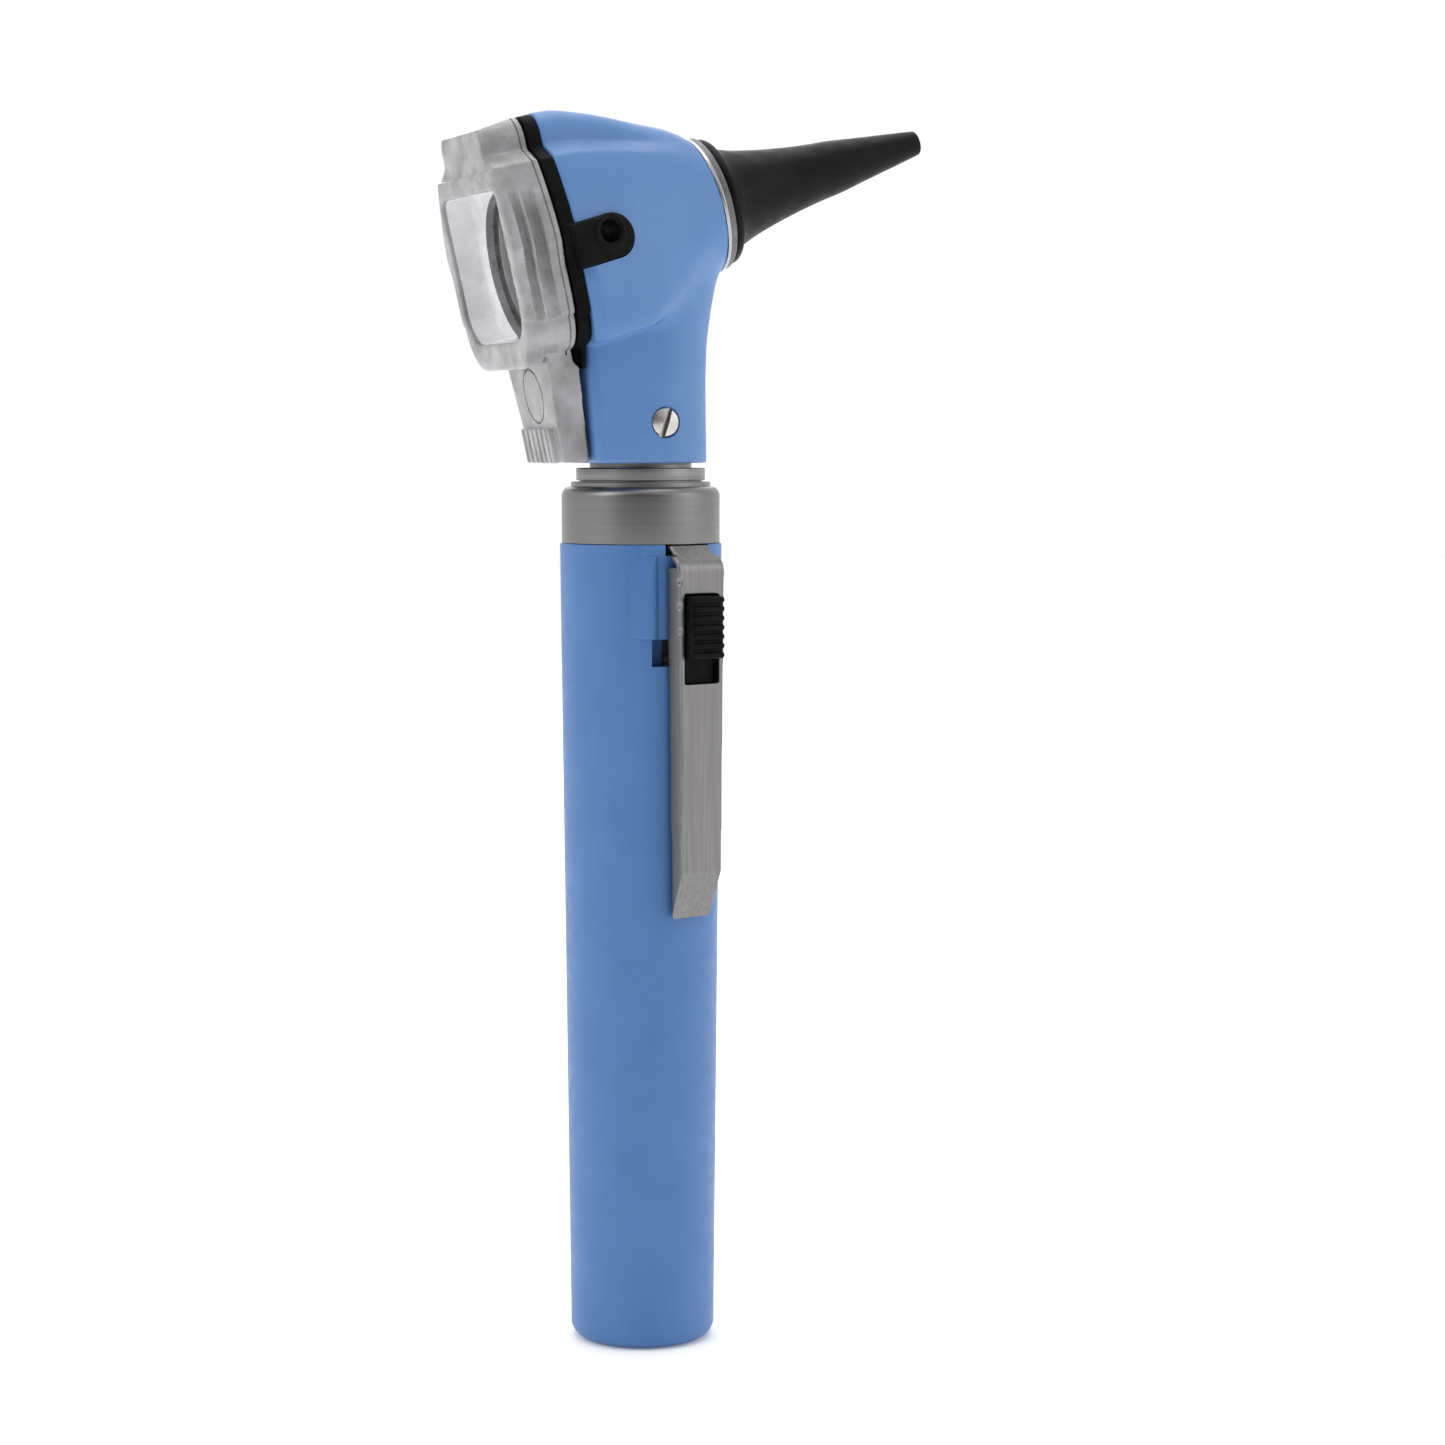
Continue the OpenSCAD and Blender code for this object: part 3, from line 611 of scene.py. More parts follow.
fibre = Finish("fibre", (0.7, 0.74, 0.72), 0.3).mottle(
    (0.64, 0.68, 0.66), (0.76, 0.80, 0.78), same(6.0)).gloss(
    0.22, 0.36, same(4.0)).relief(0.02, same(9.0)).material

bright_nickel = Finish("bright_nickel", (0.55, 0.53, 0.50), 0.26, Metallic=1).gloss(
    0.2, 0.34, same(1.5)).relief(0.006, same(3.0)).material
# Painted shade: near-black given to the inner faces of the head's viewing chamber, where shade
# falls in the hollow.
chamber_painted_shade = Finish("chamber_painted_shade", (0.035, 0.035, 0.036), 0.75).mottle(
    (0.032, 0.032, 0.033), (0.040, 0.040, 0.041), same(0.4)).gloss(
    0.68, 0.84, same(1.0)).relief(0.01, same(5.0)).material

FINISHES = {
    "handle_plastic": handle_plastic, "head_plastic": head_plastic, "black_plastic": black_plastic,
    "speculum_plastic": speculum_plastic, "satin_metal": satin_metal, "dark_metal": dark_metal,
    "bright_metal": bright_metal, "grey_metal": grey_metal, "spring_steel": spring_steel,
    "brass": brass, "cell_jacket": cell_jacket, "insulator": insulator, "rubber": rubber,
    "clear_acrylic": clear_acrylic, "lens_glass": lens_glass, "lamp_glass": lamp_glass,
    "fibre": fibre,
}
for node, obj in frame["nodes"].items():
    obj.data.materials.clear()
    obj.data.materials.append(FINISHES[SLOTS[node]])


# ---- Handle ----

def saddle_cheek(r, side):
    """Flat cheek beside the clip, tangent to a tube of radius r, bevelled at crest and top."""
    half, angle = CHANNEL_W / 2, math.radians(SADDLE_ANGLE)
    crest = (r - half * math.sin(angle)) / math.cos(angle)
    touch = (r * math.cos(angle), r * math.sin(angle))
    top = SADDLE_Z + SADDLE_H
    plan = [(r - 3, half, 0), (crest, half, 0.9), (*touch, 0), (touch[0] - 2, touch[1] - 2, 0)]
    plan = rounded([(x, side * y, bend) for x, y, bend in plan])
    cheek = prism(plan, SADDLE_Z - 1, top + 1)
    face = upright(rounded([(r - 5, SADDLE_Z, 0), (r, SADDLE_Z, 0.3), (r, top, 0.7),
                            (r - 5, top, 0)]), 20)
    cheek = combine(cheek, [moved(face, Matrix.Rotation(side * angle, 4, "Z"))], "INTERSECT")
    corner = moved(upright(rectangle(-3, 0, 3, 6), 6), Matrix.Rotation(math.radians(45), 4, "Y"))
    return cut(cheek, moved(corner, at(crest, 0, top - 1.1)))


def make_handle_tube():
    top_r, base_r, floor_t = 10.75, 9.65, 2.5
    outline = rounded([
        (0, 0, 0), (base_r - 0.02, 0, FOOT_R), (top_r, tube_h, 0.25),
        (COLLAR_SEAT_R, tube_h, 0), (COLLAR_SEAT_R, tube_h - COLLAR_SEAT_H, 0),
        (BORE_R, tube_h - COLLAR_SEAT_H, 0), (BORE_R, floor_t, 0.6), (0, floor_t, 0)], 8)
    tube = lathe(outline, 192)
    for side in (-1, 1):
        tube = joined(tube, moved(saddle_cheek(top_r - 0.02, side), CLIP))
    strip_w, outside = 4.3, 16
    channel = prism(rectangle(0, -strip_w / 2, 8.08, strip_w / 2), floor_t, tube_h)
    pocket = prism(rectangle(BORE_R + 0.03, -POCKET_W / 2, outside, POCKET_W / 2), POCKET_Z,
                   SADDLE_Z)
    notch = prism(rectangle(BORE_R + 0.03, -NOTCH_HALF, outside, NOTCH_HALF), notch_z, tube_h + 1)
    tube = cut(tube, moved(channel, CLIP), moved(pocket, CLIP), moved(notch, CLIP))
    finish_piece(tube, "handle_barrel", HERE, handle_plastic, "handle_tube", sharp=30)


def make_collar():
    r, z = 10.5, tube_h
    shoulder = collar_top - STEP_H
    sleeve_r, foot = COLLAR_SEAT_R - 0.05, z - COLLAR_SEAT_H
    outline = rounded([
        (7.6, foot, 0.2), (sleeve_r, foot, 0.2), (sleeve_r, z, 0), (r, z, 0.15),
        (r, shoulder, COLLAR_EDGE), (9.25, shoulder, 0.06), (9.25, collar_top, 0.12),
        (8.2, collar_top, 0.2), (8.2, 108.3, 0), (7.6, 108.3, 0)], 8)
    collar = lathe(outline, 192)
    slot = prism(rectangle(5, -NOTCH_HALF, 11, NOTCH_HALF), notch_z, z)
    cut(collar, moved(slot, CLIP))
    finish_piece(collar, "collar", HERE, turned_metal, "handle_collar", sharp=30)


# ---- Clip and switch ----

def clip_side(amount):
    """Side outline of the clip as (distance from the handle axis, height), set in by amount."""
    face, mouth = CLIP_FACE - amount, CLIP_OPEN - amount / 2
    low_z, top = low("clip").z, high("clip").z - amount
    bend = arc(CLIP_FACE - CLIP_BEND, CLIP_BEND_Z, CLIP_BEND - amount, 0, CLIP_LEAN)
    lean = bend[-1][0] - (top - bend[-1][1]) * math.tan(math.radians(CLIP_LEAN))
    side = [(mouth, low_z + 1.25 * amount), (face, low_z + CLIP_TOE), *bend, (lean, top)]
    return side + [(min(mouth, lean - 0.05), top)]


def clip_body(amount):
    """The clip's outer form, set in by amount."""
    low_z, top = low("clip").z, high("clip").z
    top_w, low_w = CLIP_TOP_W / 2 - amount, CLIP_LOW_W / 2 - amount
    front = [(-low_w, low_z - 1), (low_w, low_z - 1), (top_w, top + 1), (-top_w, top + 1)]
    return combine(upright(clip_side(amount), 6), [facing_out(front, 5, 20)], "INTERSECT")


def make_clip():
    clip = cut(clip_body(0), clip_body(CLIP_T))
    low_z, top_z = low("clip").z, high("clip").z
    above = combine(upright(clip_side(CLIP_T), 7),
                    [upright(rectangle(0, FLANGE_TOP, 20, top_z + 2), 8)], "INTERSECT")
    clip = cut(clip, above)
    half = STRAP_W / 2
    for side in (-1, 1):
        beside = rectangle(side * half, CLIP_BEND_Z + 2, side * (half + 5), top_z + 2)
        clip = cut(clip, facing_out(beside, 5, 20))
    strap = prism(rectangle(8.2, -half, CLIP_OPEN - 0.1, half), top_z - CLIP_T, top_z)
    bumps = []
    for side in (-1, 1):
        pad = rod(0.75, -CLIP_T * 0.45, CLIP_T * 0.45, 0, 24)
        turn = at(CLIP_OPEN + 0.3, side * (CLIP_LOW_W / 2 - CLIP_T / 2), low_z + 3.2)
        bumps.append(moved(pad, turn @ Matrix.Rotation(math.radians(90), 4, "X")))
    clip = joined(clip, strap, *bumps)
    w = SLOT_W / 2
    window = rounded([(-w, SLOT_TOP - SLOT_H, 0.35), (w, SLOT_TOP - SLOT_H, 0.35),
                      (w, SLOT_TOP, 0.35), (-w, SLOT_TOP, 0.35)])
    clip = cut(clip, facing_out(window, CLIP_FACE - 2, CLIP_FACE + 2))
    dimples = (96.2, 99.4, 102.6)
    for z in dimples:
        clip = cut(clip, moved(rod(0.45, -0.5, 0.5, 0.3, 24), at(CLIP_FACE, -CLIP_TOP_W / 2, z)))
    clip = moulded(clip, 0.13, 6)
    finish_piece(clip, "clip_strip", CLIP, satin_metal, "clip", sharp=60)


def make_slider():
    z0, z1, half = low("switch_slider").z, high("switch_slider").z, 2.5
    rear = SLIDER_FACE - SLIDER_T
    bar = prism(rounded([(rear, -half, 0), (SLIDER_FACE, -half, 0.15), (SLIDER_FACE, half, 0.15),
                         (rear, half, 0)]), z0, z1, 0.15)
    finish_piece(bar, "slider_bar", CLIP, black_plastic, "switch_slider")


def make_knob():
    z = low("switch_knob").z
    crest = CLIP_FACE + KNOB_PROUD
    pitch, rib_r = KNOB_H / RIBS, 0.45
    side = [(SLIDER_FACE, z)]
    for i in range(RIBS):
        middle = z + pitch * (i + 0.5)
        side += arc(crest - rib_r, middle, rib_r, -80, 80, 20)
    side += [(SLIDER_FACE, z + KNOB_H)]
    knob = upright(side, KNOB_W / 2, 0.3)
    finish_piece(knob, "thumb_button", CLIP, black_plastic, "switch_knob", sharp=40)


# ---- Head base ----

def make_head_base():
    ring_z, ring_r, ring_top = 115.6, 8.55, 117.2
    plug_r, plug_z, thread_depth = 8.12, low("head_base").z, 0.45
    outline = [(5.2, plug_z, 0.15), (plug_r, plug_z, 0.4)]
    for i in range(4):
        middle = plug_z + 0.9 + 1.5 * i
        outline += [(plug_r, middle - 0.5, 0.05), (plug_r - thread_depth, middle - 0.1, 0.05),
                    (plug_r - thread_depth, middle + 0.1, 0.05), (plug_r, middle + 0.5, 0.05)]
    outline += [(plug_r, ring_z, 0), (ring_r, ring_z, 0.12), (ring_r, ring_top, 0.12),
                (WAIST_R, ring_top, 0.08), (WAIST_R, 126, 0.2), (3.3, 126, 0.2), (3.3, 115.9, 0),
                (2.5, 115.9, 0), (2.5, 115.3, 0), (5.2, 115.3, 0)]
    base = lathe(rounded(outline), 192)
    finish_piece(base, "threaded_base", HERE, dark_metal, "head_base", sharp=30)


def make_screw():
    seat = NECK_R - 1.3
    head = lathe(rounded([
        (0, seat - 2.1, 0), (1, seat - 2.1, 0.2), (1, seat, 0), (1.95, seat, 0.05),
        (1.95, seat + 1.05, 0.35), (0, seat + 1.35, 0)], 10), 96)
    slot = prism(rectangle(-3, -0.4, 3, 0.4), seat + 0.55, seat + 3)
    slot_angle = math.radians(-17)
    cut(head, moved(slot, Matrix.Rotation(slot_angle, 4, "Z")))
    finish_piece(head, "clamp_screw", SCREW, bright_nickel, "head_screw", sharp=30)


# ---- Head ----

def shell_section(s, outline, circle):
    """Section of the head's shell at s behind the ring, as points (y, u)."""
    width = FRONT_R + (SHIELD_W - FRONT_R) * s / SHELL_L
    top = value_at([(0, FRONT_R), (0.9, 10.1), (2.6, 11.2), (4.7, 12.2), (6.8, 13.05), (9.2, 14.05),
                    (11.2, 14.85), (13.2, 15.6), (15.4, 16.35), (17.7, 17), (19.7, 17.4),
                    (SHELL_L, CAP_U)], s)
    bottom = value_at([(0, FRONT_R), (6.7, 10.9), (12.2, 12.5), (SHELL_L - CHAMFER_L, SHIELD_LOW),
                       (SHELL_L, 12.3)], s)
    roundness = 1 - smoothstep(s / 15)
    chamfer = CHAMFER_W * max(0, (s - (SHELL_L - CHAMFER_L)) / CHAMFER_L)
    points = []
    for (y, u), (cy, cu) in zip(outline, circle):
        height = top if u > 0 else bottom
        square = (y * width / SHIELD_W, u * height / (CAP_U if u > 0 else SHIELD_LOW))
        height = top if cu > 0 else bottom
        ellipse = (cy * width, cu * height)
        y, u = (a + (b - a) * roundness for a, b in zip(square, ellipse))
        points.append((y * (1 - chamfer / SHIELD_W * smoothstep((2 - u) / 4)), u))
    return points


def make_shell_body():
    count = 240
    outline = even(shield(1.2), count)
    circle = [(math.sin(2 * math.pi * i / count), math.cos(2 * math.pi * i / count))
              for i in range(count)]
    stations = [(SHELL_L - CHAMFER_L) * (1 - i / 30) for i in range(31)]
    stations = [SHELL_L, SHELL_L - CHAMFER_L / 2, *stations]
    sections = []
    for s in stations:
        lean = math.tan(REAR_LEAN) * smoothstep((s - 14) / (SHELL_L - 14))
        sections.append([(u * lean - s, y, u) for y, u in shell_section(s, outline, circle)])
    return rings(sections)


def neck_section(z):
    """Section of the neck at height z: a round front that flares upwards, and a squarer rear."""
    front = value_at([(neck_z, 8.75), (124, 8.65), (129, 8.6), (132.6, 8.75), (135.8, 9.2),
                      (139, 9.75), (141.1, 10.2), (142.6, 10.5), (150, 8.5)], z)
    rear = value_at([(neck_z, 8.95), (129.5, 10.38), (132.8, 10.48), (135, 10.2), (143, 8),
                     (150, 8)], z)
    corner = 1.4
    angles = [math.pi / 2 * k / 24 for k in range(25)]
    half = [(front * math.cos(a), NECK_R * math.sin(a)) for a in angles]
    half += arc(corner - rear, NECK_R - corner, corner, 90, 180, 15)
    return [(x, y, z) for x, y in half] + [(x, -y, z) for x, y in half[::-1][:-1]]


def make_neck():
    heights = [neck_z, 119, 121, 124, 126.5, 128.5, 129.5, 130.5, 131.5, 132.8, 134, 135, 135.8,
               137.4, 139, 140, 141.1, 142, 142.6, 146, 150]
    return rings([neck_section(z) for z in heights])


def tab_outline(grow):
    r = TAB_H / 2 + grow
    rear = -(SHELL_L - PORT_S) - 1
    return [(rear, r - PORT_U), (rear, -r - PORT_U)] + arc(TAB_END, -PORT_U, r, -90, 90)


def crease_weight(co):
    """How much the mould rounds the join of head and neck at a point of the optic frame."""
    s, u = -co.x, co.z
    across = smoothstep(s / 1.8) * smoothstep((14.5 - s) / 3)
    return across * smoothstep((-3.5 - u) / 3) * smoothstep((u + 20) / 4)


def make_head_shell():
    into_optic = OPTIC.inverted()
    shell = joined(make_shell_body(), moved(make_neck(), into_optic))
    shell = soften(moulded(shell, 0.24, 8), crease_weight, 420)
    chamber = lathe([(0, -SHELL_L - 1.5), (10.8, -SHELL_L - 1.5), (7.3, -4), (7.3, 2), (0, 2)], 128)
    bore = moved(rod(WAIST_R + 0.05, neck_z - 1, 126.5), into_optic)
    shaft = moved(rod(5.4, neck_z - 1, 145.2), into_optic)
    screw_hole = moved(rod(1.15, 2, 12), into_optic @ SCREW)
    screw_sink = moved(lathe([(0, NECK_R - 1.3), (2.02, NECK_R - 1.3), (2.02, NECK_R - 0.25),
                              (2.35, NECK_R + 0.2), (2.35, NECK_R + 3), (0, NECK_R + 3)], 96),
                              into_optic @ SCREW)
    pocket = moved(prism(tab_outline(0.06), TAB_PROUD - 2.25, 6), into_optic @ PORT)
    port = moved(rod(2.15, -8, 2), into_optic @ PORT)
    pin = moved(rod(PIN_BORE_R, 0, 4.5), into_optic @ REAR @ at(-0.5, 0, PIVOT_U) @ TURN_X)
    shell = cut(shell, moved(chamber, TURN_X), bore, shaft, screw_hole, screw_sink, pocket, port,
                pin)
    finish_piece(shell, "shell_moulding", OPTIC, head_plastic, "head_shell", sharp=45)
    # Painted shade: the faces inside the viewing chamber get the near-black material.
    narrow_r, flare = 7.36, 0.176
    paint(shell, OPTIC, chamber_painted_shade,
          lambda co: Vector((co.y, co.z)).length < narrow_r - flare * (co.x + 4))


def make_bezel():
    into_rear = REAR.inverted()
    bezel = plate(inset(shield(4, CHAMFER_W), 0.1), 0, BEZEL_T, 0.3)
    lip = rounded([(-11.35, 133.3, 0), (-11.05, LIP_Z, 0.15), (-10.62, LIP_Z, 0.15),
                   (-10.62, 132.7, 0), (-10.75, 133.3, 0)])
    tab = prism(tab_outline(0), TAB_PROUD - 2.2, TAB_PROUD, 0.4)
    rim = lathe(rounded([(1, TAB_PROUD - 0.5, 0), (2.35, TAB_PROUD - 0.5, 0),
                         (2.3, TAB_PROUD + 0.32, 0.15), (1.8, TAB_PROUD + 0.32, 0.15),
                         (1, TAB_PROUD - 0.4, 0)]), 96)
    sleeve = rod(2.1, -3.6, 0)
    bezel = joined(bezel, moved(upright(lip, LIP_W / 2), into_rear),
                   moved(joined(tab, rim, sleeve), into_rear @ PORT))
    bezel = moulded(bezel, 0.16, 4)
    opening_r, groove_in, groove_out = 9.9, 10.15, 10.95
    opening = rod(opening_r, 0, BEZEL_T + 1, 0, 160)
    opening = moved(opening, at(-BEZEL_T - 0.5, 0, LENS_U) @ TURN_X)
    groove = lathe(rectangle(groove_in, -0.5, groove_out, 0.8), 160)
    port = moved(rod(1.5, -5, 3), into_rear @ PORT)
    pin = moved(rod(PIN_BORE_R, 0, BEZEL_T + 1), at(-BEZEL_T - 0.5, 0, PIVOT_U) @ TURN_X)
    bezel = cut(bezel, opening, moved(groove, at(-BEZEL_T, 0, LENS_U) @ TURN_X), port, pin)
    finish_piece(bezel, "bezel_plate", REAR, black_plastic, "bezel", sharp=45)


def make_nose():
    place = OPTIC @ TURN_X
    bore_r, band_r, band_x = 7.25, FRONT_R - 0.25, 1.45
    ring = lathe(rounded([(bore_r, 0, 0.05), (FRONT_R, 0, 0.1), (FRONT_R, SEAT_RING_T, 0.18),
                          (bore_r, SEAT_RING_T, 0.05)]), 160)
    finish_piece(ring, "seat_trim", place, bright_metal, "seat_ring", sharp=30)
    seat = lathe(rounded([(bore_r, SEAT_RING_T, 0.05), (band_r, SEAT_RING_T, 0.05),
                          (band_r, band_x, 0.12), (bore_r, band_x, 0.05)]), 160)
    finish_piece(seat, "seat_band", place, grey_metal, "speculum_seat", sharp=30)
    nose = lathe(rounded([(4.6, -3.9, 0.1), (7.2, -3.9, 0.1), (7.2, 1.4, 0.2), (5.3, 1.4, 0.3),
                          (4.9, 5, 1), (3.3, 12.5, 0.15), (2.6, 12.5, 0.15), (3.6, 5, 1)]), 128)
    finish_piece(nose, "nose_tube", place, satin_metal, "nose_cone", sharp=30)


def make_speculum():
    outer = through([(8.3, 1.75), (8.45, 2.05), (8.43, 2.5), (8.2, 2.85), (7.7, 3.15), (7.15, 3.5),
                     (6.75, 4.1), (6.4, 4.95), (6, 6.2), (5.6, 7.7), (5.15, 9.7), (4.65, 12.3),
                     (4.2, 15), (3.85, 17.8), (3.55, 20.7), (3, 24.1), (2.4, 28.1), (1.8, 32),
                     (1.66, 32.8)], 4)
    tip = arc(1.3, 32.84, 0.36, 0, 180, 20)
    inner = [(0.96, 32.4), (1.2, 30.9), (2.9, 20.6), (3.5, 14.4), (4.2, 10), (5.2, 5.6),
             (5.75, 1.6)]
    body = lathe([(8.1, 1.6), *outer, *tip, *inner], 160)
    finish_piece(body, "ear_speculum", OPTIC @ TURN_X, speculum_plastic, "speculum", sharp=40)


# ---- Window ----

def in_recess(co):
    """Whether a point of the rear frame is on the window's lens recess, where the lighter, glowing
    acrylic is painted as a painted highlight.
    """
    half_w, bottom, top, corner = 12.3, -10.8, 9.4, 20.4
    return (2.1 < -co.x - FRONT_S < WINDOW_T - 0.1 and abs(co.y) < half_w
            and bottom < co.z < top and abs(co.y) - co.z < corner)


def make_window():
    into_rear = REAR.inverted()
    outline, block_top = shield(4.5, CHAMFER_W), 11.4
    body = plate(inset(outline, 0.02), FRONT_S, WINDOW_T, 0.3)
    block = combine(plate(inset(shield(6, CHAMFER_W, BLOCK_LOW), 0.1), FRONT_S + WINDOW_T - 2,
                          BLOCK_T + 2, 0.4),
                    [plate(rectangle(-20, -20, 20, block_top), FRONT_S, WINDOW_T + 5)], "INTERSECT")
    profile = rounded([(-9.45, 118, 0.2), (-11.3, 129, 0), (-11.5, 130.2, 0), (-12.4, 131, 0),
                       (-12.8, 132.6, 0), (-13.3, 135, 0), (-16.8, 135, 0), (-15.4, 129, 0),
                       (-13.05, 118, 0.3)])
    tail = upright(profile, 12)
    taper = facing_out([(-6.4, 117), (6.4, 117), (9.6, 136), (-9.6, 136)], -25, -5)
    tail = combine(tail, [taper], "INTERSECT")
    lean = at(-13.35, 0, 120.3) @ Matrix.Rotation(math.radians(-12), 4, "Y")
    pad = moved(prism(rounded([(-1.1, -5.8, 0.25), (1.1, -5.8, 0), (1.1, 5.8, 0),
                               (-1.1, 5.8, 0.25)]),
                      -2.3, 2.3, 0.12), lean)
    window = joined(body, block, moved(joined(tail, pad), into_rear))
    slope = moved(upright(rectangle(-20, 0, 0, 5), 15),
                  at(-FRONT_S, 0, CAP_U) @ Matrix.Rotation(math.radians(-CAP_SLOPE), 4, "Y"))
    window = cut(window, plate(lens_opening(), FRONT_S + RECESS_S, WINDOW_T + 2), slope)
    u0, u1 = -10.2, 8.6
    for side in (-1, 1):
        panel = rounded([(side * 13.2, u0, 0.4), (side * 18, u0, 0), (side * 18, u1, 0),
                         (side * 12.4, u1, 0.4)])
        window = cut(window, plate(panel, FRONT_S + 2, 1.7, 0), plate(panel, FRONT_S + 4.1, 1.2, 0))
    window = moulded(window, 0.19, 4)
    seam = cut(plate(inset(outline, -0.6), FRONT_S + 0.75, 0.22),
               plate(inset(outline, 0.22), FRONT_S + 0.5, 0.8))
    pin_hole = lathe([(0, 0), (1.68, 0), (1.68, 1.2), (1.32, 1.2), (1.32, 7), (0, 7)], 64)
    window = cut(window, seam, moved(pin_hole, at(-FRONT_S - 4.4, 0, PIVOT_U) @ TURN_X),
                 moved(rod(LENS_R + 0.05, 0, 4, 0, 160), at(-FRONT_S - 3, 0, LENS_U) @ TURN_X))
    for i in range(6):
        rib = moved(rod(0.36, -4, 4, 0, 24), at(-1.15, (i - 2.5) * 1.85, 0))
        window = cut(window, moved(rib, into_rear @ lean))
    tail_ring = lathe(rectangle(TAIL_RING_R, -0.3, TAIL_RING_R + 0.3, 0.3), 96)
    on_tail = at(-14.89, 0, 126.6) @ Matrix.Rotation(math.radians(-102), 4, "Y")
    window = cut(window, moved(tail_ring, into_rear @ on_tail))
    finish_piece(window, "window_moulding", REAR, clear_acrylic, "window", sharp=45)
    # Painted highlight: the lens recess gets the lighter acrylic that glows.
    paint(window, REAR, recess_painted_glow, in_recess)


def make_lens():
    rise, edge = 0.9, 1.3
    ball = (LENS_R ** 2 + rise ** 2) / (2 * rise)
    spread = math.degrees(math.asin(LENS_R / ball))
    dome = [(r, z) for z, r in arc(edge + rise - ball, 0, ball, spread, 0, 0.6)]
    lens = lathe([(0, 0), (LENS_R - 0.1, 0), (LENS_R, 0.1), *dome], 160)
    finish_piece(lens, "lens", REAR @ at(-FRONT_S - 0.1, 0, LENS_U) @ TURN_BACK, lens_glass,
                 "magnifier_lens", sharp=30)


def make_pivot_and_seal():
    depth = 4.3
    end = -(FRONT_S + depth)
    length = depth + FRONT_S + 3
    pin = lathe(rounded([(0, 0, 0), (1.45, 0, 0.2), (1.6, 1, 0.05), (1.25, 1, 0),
                         (1.25, length, 0.2), (0, length, 0)]), 96)
    finish_piece(pin, "pivot_pin", REAR @ at(end, 0, PIVOT_U) @ TURN_X, satin_metal, "window_pivot",
                 sharp=30)
    seal_in, seal_out, seal_t = 10.2, 10.9, 0.9
    seal = lathe(rounded([(seal_in, 0, 0.2), (seal_out, 0, 0.2), (seal_out, seal_t, 0),
                          (seal_in, seal_t, 0)]), 160)
    finish_piece(seal, "seal_ring", REAR @ at(-BEZEL_T - 0.15, 0, LENS_U) @ TURN_X, rubber,
                 "window_gasket", sharp=40)


# ---- Inside ----

def make_cell(node, name):
    z, r, end_r, button_r = low(node).z, 7.25, 6.7, 2.75
    top, button_top = z + 49.5, z + 50.5
    cell = lathe(rounded([
        (0, z, 0), (end_r, z, 0.3), (r, z + 0.5, 0.3), (r, top - 0.5, 0.3), (end_r, top, 0.2),
        (button_r, top, 0.1), (button_r, button_top, 0.3), (0, button_top, 0)]), 128)
    finish_piece(cell, name, HERE, cell_jacket, node, sharp=30)
    paint(cell, HERE, satin_metal, lambda co: Vector((co.x, co.y)).length < end_r - 0.2)


def make_spring(node, name, r0, r1, wire_r):
    """Wire of three turns whose coil radius runs from r0 to r1."""
    z0, z1 = low(node).z + wire_r, high(node).z - wire_r
    steps, up = 144, Vector((0, 0, 1))
    path = []
    for k in range(steps + 1):
        f, turn = k / steps, 6 * math.pi * k / steps
        out = Vector((math.cos(turn), math.sin(turn), 0))
        path.append((out * (r0 + (r1 - r0) * f) + up * (z0 + (z1 - z0) * f), out, up))
    finish_piece(wire(path, wire_r, 16), name, HERE, spring_steel, node, sharp=50)


def make_contacts():
    z = low("centre_contact").z
    pin = lathe(rounded([(0, z, 0), (1.6, z, 0.4), (2.2, z + 0.6, 0.2), (2.2, z + 1.8, 0.15),
                         (0, z + 1.8, 0)]), 96)
    finish_piece(pin, "contact_button", HERE, brass, "centre_contact", sharp=30)
    z0, z1 = low("contact_insulator").z, high("contact_insulator").z
    bush = lathe(rounded([(2.25, z0, 0.2), (5.15, z0, 0.4), (5.15, z1, 0.2), (2.25, z1, 0.2)]), 128)
    finish_piece(bush, "contact_bush", HERE, insulator, "contact_insulator", sharp=30)
    z0, z1, half = low("switch_contact").z, high("switch_contact").z, 1.5
    face = SLIDER_FACE - SLIDER_T
    rear = face - 0.3
    leaf = prism(rounded([(rear, -half, 0.1), (face, -half, 0.1), (face, half, 0.1),
                          (rear, half, 0.1)]),
                 z0, z1, 0.08)
    finish_piece(leaf, "contact_leaf", CLIP, brass, "switch_contact")


def make_lamp():
    z = low("lamp_base").z
    base = lathe(rounded([
        (0, z, 0), (3.2, z, 0.2), (3.2, z + 0.8, 0.15), (3, z + 0.8, 0.05), (3, z + 14.2, 0.05),
        (3.2, z + 14.2, 0.15), (3.2, z + 15, 0.2), (0, z + 15, 0)]), 96)
    finish_piece(base, "lamp_sleeve", HERE, satin_metal, "lamp_base", sharp=30)
    z = low("lamp_glass").z
    bulb = lathe([(0, z), (2.3, z), *arc(0, z + 1, 2.3, 0, 90)], 96)
    finish_piece(bulb, "lamp_bulb", HERE, lamp_glass, "lamp_glass", sharp=40)
    z0, z1 = low("lamp_pin").z, high("lamp_pin").z
    groove = z1 - 1.4
    pin = lathe(rounded([
        (0, z0, 0), (2, z0, 0.4), (2, groove, 0.05), (1.7, groove, 0.05), (1.7, groove + 0.6, 0.05),
        (2, groove + 0.6, 0.05), (2, z1, 0), (0, z1, 0)]), 96)
    finish_piece(pin, "lamp_tip", HERE, brass, "lamp_pin", sharp=30)


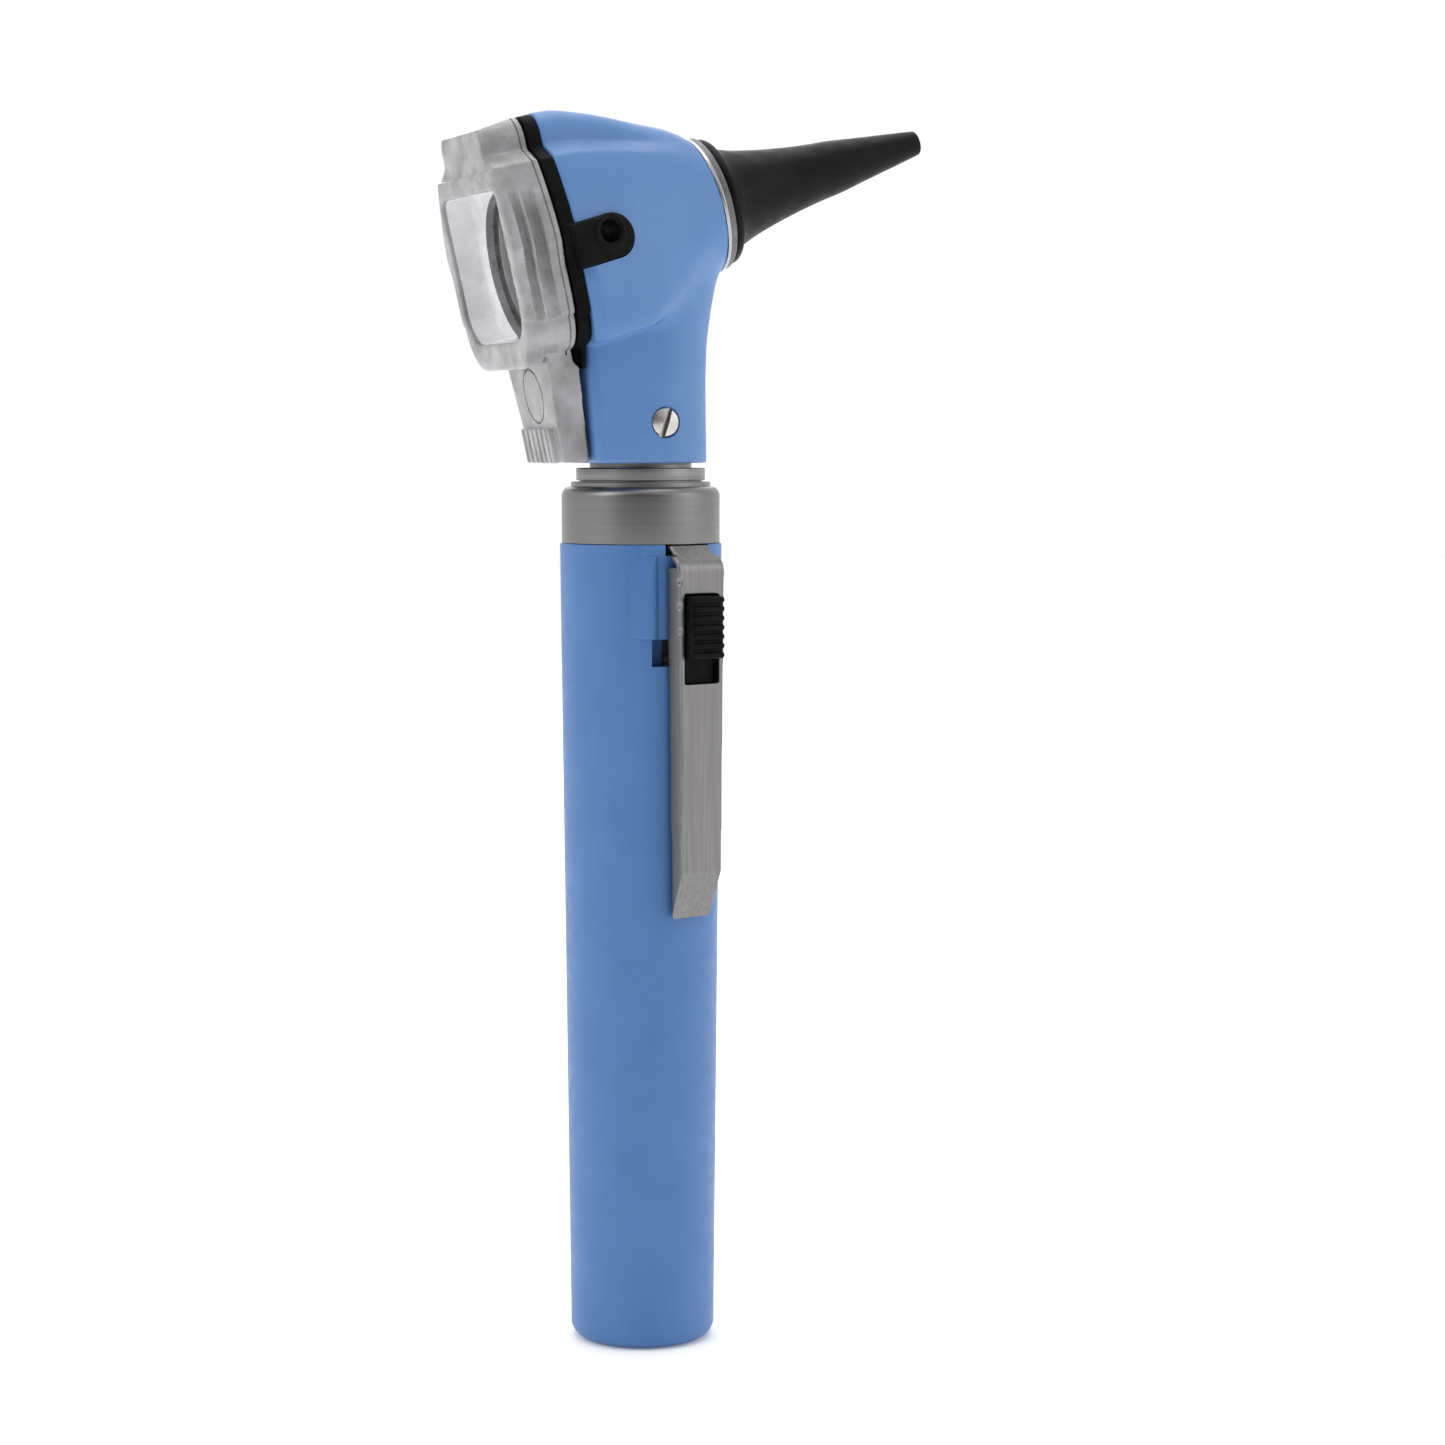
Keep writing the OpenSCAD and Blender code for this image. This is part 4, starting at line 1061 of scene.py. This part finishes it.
def make_light_guide():
    bend_r, bend_z, steps = 8.25, 137.4, 24
    bend = math.pi / 2 - math.asin(optic_axis.z)
    places = [(0, low("light_guide").z, 0), (0, bend_z - 0.8, 0)]
    for k in range(steps + 1):
        a = bend * k / steps
        places.append((bend_r * (1 - math.cos(a)), bend_z + bend_r * math.sin(a), a))
    side = Vector((0, 1, 0))
    path = [(Vector((x, 0, z)), Vector((math.cos(a), 0, -math.sin(a))), side) for x, z, a in places]
    finish_piece(wire(path, 1.5, 32), "fibre_bundle", HERE, fibre, "light_guide", sharp=50)


# ---- Stage ----

def make_stage():
    rim = arc(0, 0, 3.0, 0, 354, 6)
    floor = solid([(x, y, 0) for x, y in rim], [tuple(range(len(rim)))])
    floor.name = floor.data.name = "floor"
    white = Finish("floor_white", (0.97, 0.97, 0.97), 0.7, Emission_Strength=0.12).mottle(
        (0.965, 0.965, 0.965), (0.975, 0.975, 0.975), same(0.01)).material
    floor.data.materials.append(white)


def area_light(name, place, target, size, watts):
    data = bpy.data.lights.new(name, "AREA")
    data.shape = "DISK"
    data.size = size
    data.energy = watts
    light = bpy.data.objects.new(name, data)
    light.location = place
    light.rotation_mode = "QUATERNION"
    light.rotation_quaternion = (Vector(target) - Vector(place)).to_track_quat("-Z", "Y")
    bpy.context.scene.collection.objects.link(light)


def make_lights():
    middle = (0, 0, 0.09)
    area_light("key", (-1.1, -0.2, 0.9), middle, 0.8, 4)
    area_light("fill", (0.9, -0.6, 0.5), middle, 0.8, 1.5)
    area_light("top", (0.1, 0.2, 1.2), middle, 1.0, 5)
    area_light("back", (0.3, 1.0, 0.7), middle, 0.8, 2)
    world = bpy.data.worlds.new("studio")
    world.use_nodes = True
    nodes, links = world.node_tree.nodes, world.node_tree.links
    place = nodes.new("ShaderNodeTexCoord")
    facing = nodes.new("ShaderNodeVectorMath")
    facing.operation = "DOT_PRODUCT"
    camera_side = (-0.342, -0.940, 0)
    facing.inputs[1].default_value = camera_side
    fall = nodes.new("ShaderNodeMapRange")
    fall.interpolation_type = "SMOOTHSTEP"
    for socket, number in (("From Min", 0.55), ("From Max", 0.97), ("To Min", 0.95),
                           ("To Max", 0.05)):
        fall.inputs[socket].default_value = number
    seen = nodes.new("ShaderNodeLightPath")
    pick = nodes.new("ShaderNodeMix")
    pick.inputs["B"].default_value = 1.0
    nodes["Background"].inputs["Color"].default_value = (1, 1, 1, 1)
    links.new(place.outputs["Generated"], facing.inputs[0])
    links.new(facing.outputs["Value"], fall.inputs["Value"])
    links.new(fall.outputs["Result"], pick.inputs["A"])
    links.new(seen.outputs["Is Camera Ray"], pick.inputs["Factor"])
    links.new(pick.outputs["Result"], nodes["Background"].inputs["Strength"])
    bpy.context.scene.world = world
    bpy.context.scene.view_settings.view_transform = "Standard"


def make_camera():
    distance, azimuth, eye = 0.43, math.radians(20), 0.1216
    pitch, yaw = math.radians(5.1), math.radians(1.45)
    data = bpy.data.cameras.new("camera")
    data.sensor_width = 36
    data.lens = 80.35
    data.clip_start = 0.01
    camera = bpy.data.objects.new("camera", data)
    camera.location = (-distance * math.sin(azimuth), -distance * math.cos(azimuth), eye)
    camera.rotation_euler = (math.pi / 2 - pitch, 0, -azimuth - yaw)
    bpy.context.scene.collection.objects.link(camera)
    bpy.context.scene.camera = camera


make_camera()
make_stage()
make_lights()
make_handle_tube()
make_collar()
make_clip()
make_slider()
make_knob()
make_head_base()
make_screw()
make_head_shell()
make_bezel()
make_nose()
make_speculum()
make_window()
make_lens()
make_pivot_and_seal()
make_cell("battery_lower", "cell_lower")
make_cell("battery_upper", "cell_upper")
make_spring("battery_spring", "cell_spring", 5.4, 3.4, 0.45)
make_spring("contact_spring", "button_spring", 1.5, 1.5, 0.25)
make_contacts()
make_lamp()
make_light_guide()
